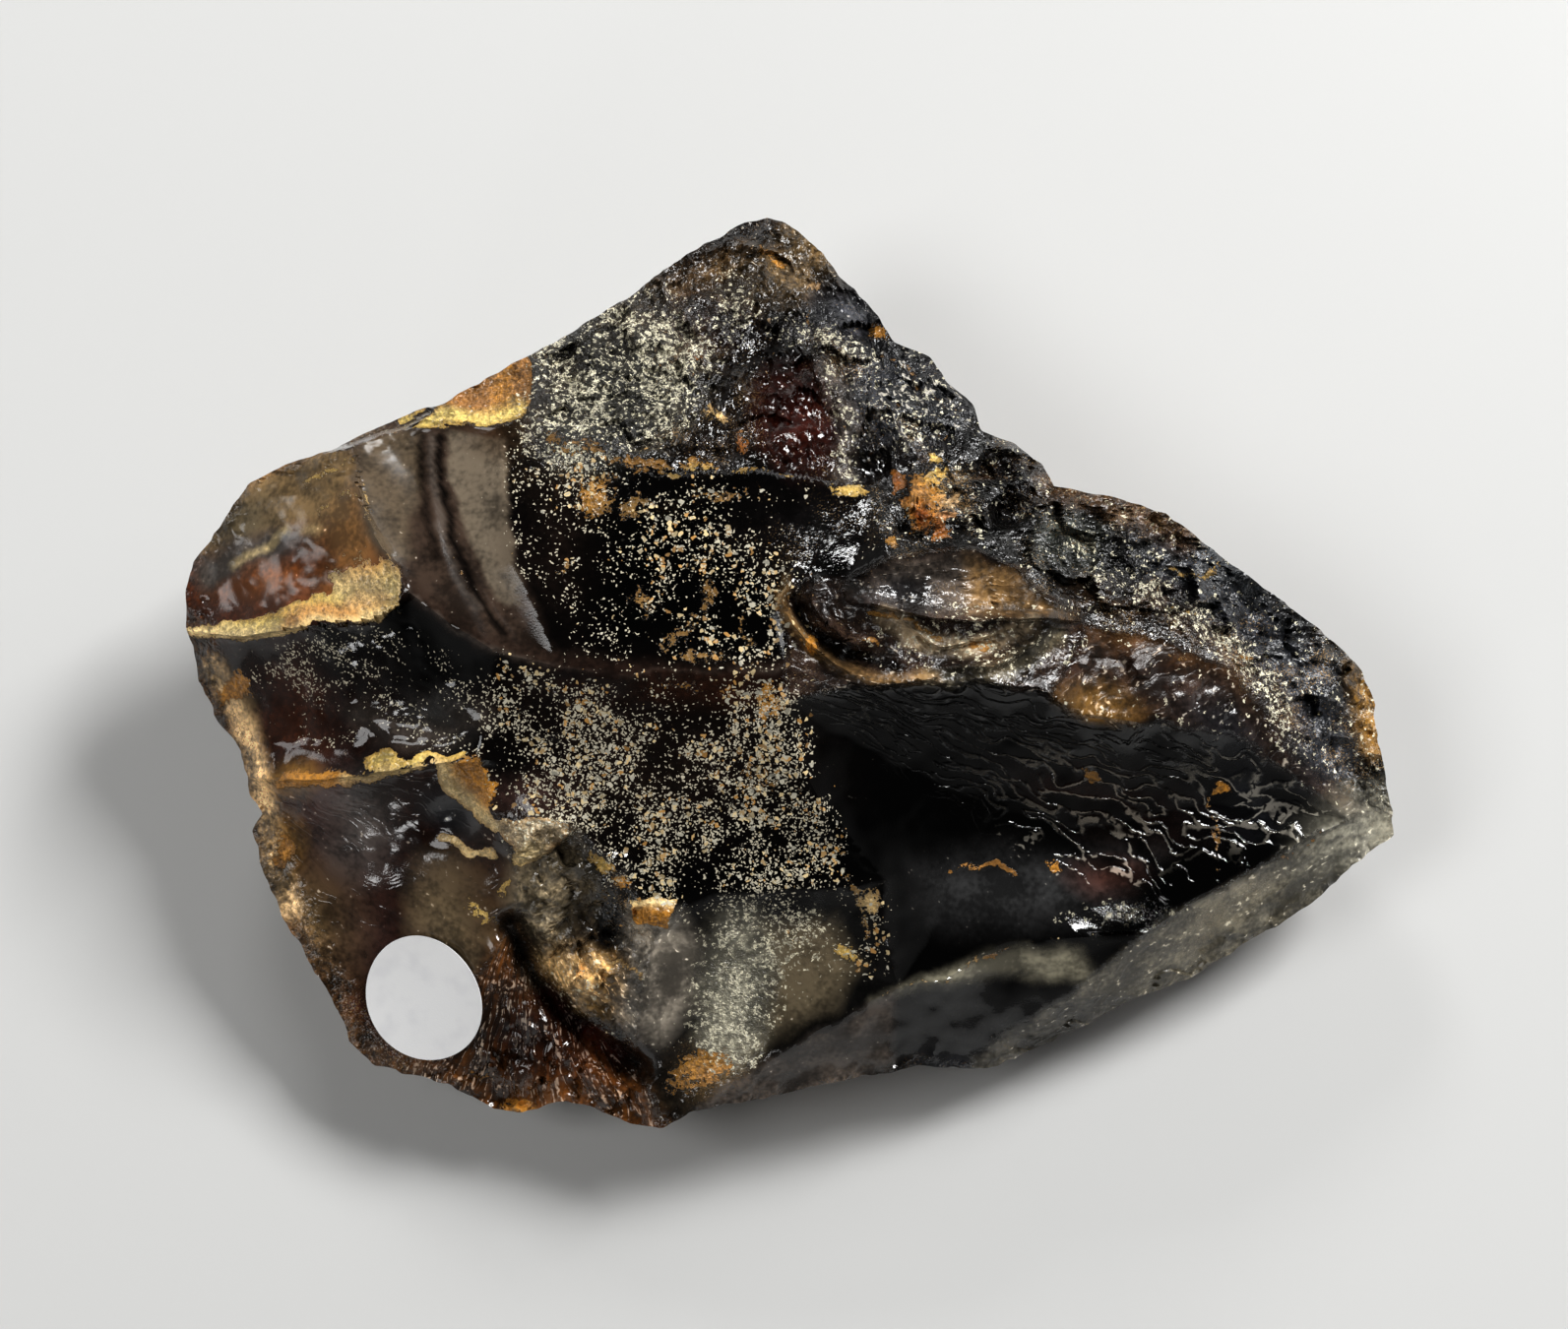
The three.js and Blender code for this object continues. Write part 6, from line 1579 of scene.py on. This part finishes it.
def amber_material():
    graph = Graph("amber")
    where = graph.millimetres()
    tint, stops = graph.painted("tint")
    patch_tint, patch_share = graph.painted("patch")
    grains, silver = graph.painted("grains")
    fleck, dust, crust = graph.parts("ShaderNodeSeparateColor", grains)
    lines, mottled = graph.painted("lines", "Vector")
    across, along, fibre = graph.parts("ShaderNodeSeparateXYZ", lines)

    small, small_colour = graph.noise(where, SMALL_SCALE)
    fine = graph.noise(where, FINE_SCALE)[0]
    bent = graph.vector("ADD", where, graph.scaled(small_colour, CELL_BEND))
    coarse_cells = graph.node("ShaderNodeTexVoronoi", {"Vector": bent, "Scale": COARSE_CELLS})
    fine_cells = graph.node("ShaderNodeTexVoronoi", {"Vector": bent, "Scale": FINE_CELLS})

    # Flecks and dust lie in clumps; so do the sparkling grains, whose pale dots are painted
    # glints.
    clumps = graph.step(mottled, 0.25, 0.75, 0.25, 1.3)
    fleck_dots, fleck_shade, fleck_number = flecks(graph, coarse_cells, fleck * clumps, FLECK_SIZE)
    dust_share = dust * (clumps * 0.62) + fleck * 0.3
    dust_dots, dust_shade, dust_number = flecks(graph, fine_cells, dust_share, DUST_SIZE)
    # painted glints: pale dots where the grains would catch light
    glint_share = silver * clumps * graph.step(small, 0.42, 0.57, 0.0, 1.7)
    glint_dots = graph.math("GREATER_THAN", dust_shade, glint_share.into(-0.6, 1.0))
    large_glint_dots = graph.math("GREATER_THAN", fleck_shade, glint_share.into(-0.4, 1.0))
    glint_dots = (graph.math("MAXIMUM", glint_dots, large_glint_dots)
                * graph.step(fine, 0.4, 0.5))

    # The broken crust is a mosaic of small flat faces, each with its own tilt; each face's colour
    # is also made lighter or darker at random, as painted light for what it mirrors.
    # painted light: each face of the crust lighter or darker at random
    painted_facet_light = fleck_number.into(0.9, dust_number * 0.7)
    painted_facet_light = crust.into(painted_facet_light + -0.8, 1.0)

    # Splinters run along the flow of the scar, with a pale thread on some crests: partly a pale
    # colour of its own, partly a painted highlight on the crest.
    wander = mottled.into(1.5, small * 0.25)
    streaks = graph.node("ShaderNodeCombineXYZ", {"X": across.into(0.75, wander),
                                                  "Y": along * 0.2}).outputs[0]
    streak = graph.noise(streaks, 1.0)[0]
    crest = graph.math("ABSOLUTE", streak.into(2.0, -1.0))
    threads = graph.step(crest, 0.015, 0.075, 1.0, 0.0)
    ridges = fibre * graph.step(crest, 0.0, 0.15, 1.0, 0.0)

    # The ground colour, shaded by clouds and streaks, and by the painted light of the crust's
    # faces.
    shade = graph.step(small * 0.5 + mottled * 0.5, 0.3, 0.7, 0.5, 1.5)
    streaky = fibre.into(graph.step(streak, 0.35, 0.65, -0.8, 0.5), 1.0)
    shade = graph.math("POWER", shade, crust.into(1.2, 1.0)) * streaky * painted_facet_light
    colour = graph.scaled(tint, shade)
    grain = crust * graph.step(mottled.into(0.4, fine), 0.86, 0.96)
    colour = graph.blend(grain, colour, GRAIN_TAN)
    # pale threads on the crests, partly painted highlight
    thread_and_glint = graph.vector("MULTIPLY_ADD", tint, (2.5, 2.5, 2.5), PALE_THREAD_AND_GLINT)
    threads = threads * graph.step(fibre.into(0.35, small), 0.70, 0.82)
    colour = graph.blend(threads, colour, thread_and_glint)

    # Patches end where their share falls below a rough threshold.
    tear = small.into(0.5, mottled.into(0.3, fine * 0.3))
    torn = graph.step(patch_share - tear, -0.04, 0.03)
    torn_shade = graph.step(mottled.into(0.3, fine.into(0.3, small * 0.4)), 0.36, 0.62, 0.5, 1.4)
    colour = graph.blend(torn, colour, graph.scaled(patch_tint, torn_shade * painted_facet_light))

    pale_fleck = graph.blend(graph.step(fleck_shade, 0.2, 0.3), FLECK_GREY, FLECK_TAN)
    fleck_colour = graph.scaled(
        graph.blend(graph.step(fleck_shade, 0.45, 0.9), pale_fleck, FLECK_RUSTY),
        graph.step(fleck_number, 0.0, 1.0, 0.5, 1.25))
    colour = graph.blend(fleck_dots, colour, fleck_colour)
    colour = graph.blend(dust_dots, colour, DUST)
    # the painted glints, laid over the colour
    glint_colour = graph.scaled(PAINTED_GLINT, graph.step(dust_number, 0.0, 1.0, 0.45, 1.2))
    colour = graph.blend(glint_dots, colour, glint_colour)

    # Light passes where nothing covers the resin.
    clear = stops.into(-1.0, 1.0) * torn.into(-0.9, 1.0)
    clear = clear * fleck_dots.into(-1.0, 1.0) * dust_dots.into(-1.0, 1.0)
    clear = clear * crust.into(-0.9, 1.0)

    cloudy = graph.math("POWER", stops, 8.0)
    rough = cloudy.into(0.3, fine.into(0.05, 0.03))
    rough = grain.into(0.3, fleck_dots.into(0.4, rough))
    rough = graph.math("MULTIPLY_ADD", torn, 0.2, rough, clamped=True)

    relief = crust * (small * 0.22 + fine * 0.05)
    relief = silver.into(small * 0.3 + fine * 0.25, relief)
    relief = ridges.into(RIDGE_RELIEF, relief)
    relief = torn.into(small * 0.3, relief)
    relief = fine.into(SKIN_RELIEF, relief)
    broken = (graph.math("MAXIMUM", crust, silver)
              * graph.step(mottled, 0.38, 0.62, 0.05, 1.25))
    tilt = graph.vector("SUBTRACT", graph.vector("ADD", coarse_cells.outputs["Color"],
                                                 fine_cells.outputs["Color"]), (1.0, 1.0, 1.0))
    tilt = graph.scaled(tilt, broken * FACE_TILT)
    normal = graph.node("ShaderNodeNewGeometry").outputs["Normal"]
    normal = graph.vector("NORMALIZE", graph.vector("ADD", normal, tilt))
    bump = graph.node("ShaderNodeBump", {"Height": relief, "Distance": MM, "Strength": 1.0,
                                         "Normal": normal})

    surface = graph.node("ShaderNodeBsdfPrincipled", {
        "Base Color": colour, "Roughness": rough, "IOR": AMBER_IOR,
        "Transmission Weight": clear, "Normal": bump.outputs[0]})
    volume = graph.node("ShaderNodeVolumeAbsorption", {"Color": AMBER_ABSORBS,
                                                       "Density": AMBER_DENSITY})
    return graph.finish(surface, volume)


CLEAN_PAPER = (0.97, 0.97, 0.97)
WORN_PAPER = (0.90, 0.90, 0.91)
PAPER_FIBRES = 6.0               # to a millimetre
WEAR = 0.35
PAPER_RELIEF = 0.02


def paper_material():
    graph = Graph("paper")
    where = graph.millimetres()
    fibres = graph.noise(where, PAPER_FIBRES, 3.0)[0]
    worn = graph.noise(where, WEAR, 2.0)[0]
    colour = graph.blend(graph.step(worn, 0.45, 0.75), CLEAN_PAPER, WORN_PAPER)
    bump = graph.node("ShaderNodeBump", {"Height": fibres, "Distance": PAPER_RELIEF * MM,
                                         "Strength": 0.6})
    surface = graph.node("ShaderNodeBsdfPrincipled", {
        "Base Color": colour, "Roughness": fibres.into(0.1, 0.5), "Normal": bump.outputs[0]})
    return graph.finish(surface)


def table_material():
    graph = Graph("table")
    return graph.finish(graph.node("ShaderNodeBsdfPrincipled", {
        "Base Color": (0.65, 0.65, 0.64, 1.0), "Roughness": 0.6}))


# ---- the scene -------------------------------------------------------------------------------

TABLE_SIZE = 3.0
CAMERA_DISTANCE = 0.36
SENSOR_WIDTH = 36.0
FRAME_WIDTH = 0.1593             # the width that the frame takes in at the target
TARGET = Vector(((TAPER_AXIS[0] + PLAN_SHIFT[0]) * MM, (TAPER_AXIS[1] + PLAN_SHIFT[1]) * MM,
                 PLAN_HEIGHT * MM))

# Soft boxes: name, turn from +X towards the back and height above the table in degrees,
# distance and size in metres, power in watts.
SOFT_BOXES = [
    ("key", 40, 43, 1.3, 0.42, 18.3),
    ("fill", -170, 54, 0.9, 0.4, 2.6),
    ("back", 104, 30, 0.8, 0.14, 1.5),
    ("right", 30, 13, 0.8, 0.14, 1.3),
    ("left", 162, 17, 0.8, 0.14, 0.22),
    ("front", -124, 19, 0.8, 0.1, 0.3),
]
# The room around: brighter at the level of the table than above it.
ROOM_COLOUR = (1.0, 0.99, 0.97, 1.0)
ROOM_LIGHT = {"From Min": 0.0, "From Max": 0.65, "To Min": 0.29, "To Max": 0.04}


def point_at_target(thing, away, distance):
    """Stands a camera or lamp off from the target and turns it to face it."""
    thing.location = TARGET + away * distance
    thing.rotation_euler = away.to_track_quat("Z", "Y").to_euler()
    bpy.context.scene.collection.objects.link(thing)


def build_camera():
    data = bpy.data.cameras.new("camera")
    data.sensor_width = SENSOR_WIDTH
    data.lens = SENSOR_WIDTH * CAMERA_DISTANCE / FRAME_WIDTH
    data.clip_start = 0.01
    data.dof.use_dof = False
    camera = bpy.data.objects.new("camera", data)
    back = Vector((0, -math.cos(CAMERA_ELEVATION), math.sin(CAMERA_ELEVATION)))
    point_at_target(camera, back, CAMERA_DISTANCE)
    bpy.context.scene.camera = camera


def build_lights():
    for name, turn, height, distance, size, power in SOFT_BOXES:
        data = bpy.data.lights.new(name, "AREA")
        data.size = size
        data.energy = power
        turn, height = math.radians(turn), math.radians(height)
        away = Vector((math.cos(height) * math.cos(turn), math.cos(height) * math.sin(turn),
                       math.sin(height)))
        point_at_target(bpy.data.objects.new(name, data), away, distance)
    world = bpy.data.worlds.new("studio")
    world.use_nodes = True
    nodes, links = world.node_tree.nodes, world.node_tree.links
    facing = nodes.new("ShaderNodeSeparateXYZ")
    links.new(nodes.new("ShaderNodeTexCoord").outputs["Generated"], facing.inputs[0])
    shade = nodes.new("ShaderNodeMapRange")
    for key, value in ROOM_LIGHT.items():
        shade.inputs[key].default_value = value
    links.new(facing.outputs["Z"], shade.inputs["Value"])
    links.new(shade.outputs["Result"], nodes["Background"].inputs["Strength"])
    nodes["Background"].inputs["Color"].default_value = ROOM_COLOUR
    bpy.context.scene.world = world


def build_table():
    bpy.ops.mesh.primitive_plane_add(size=TABLE_SIZE)
    table = bpy.context.object
    table.name = "table"
    table.data.materials.append(table_material())


stone = build_stone()
stone.data.materials.append(amber_material())
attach(stone, "root")
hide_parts("amber")

sticker = build_sticker()
sticker.data.materials.append(paper_material())
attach(sticker, "root")
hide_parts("sticker")

build_table()
build_lights()
build_camera()
bpy.context.scene.view_settings.view_transform = "Standard"
bpy.context.scene.view_settings.gamma = 0.86
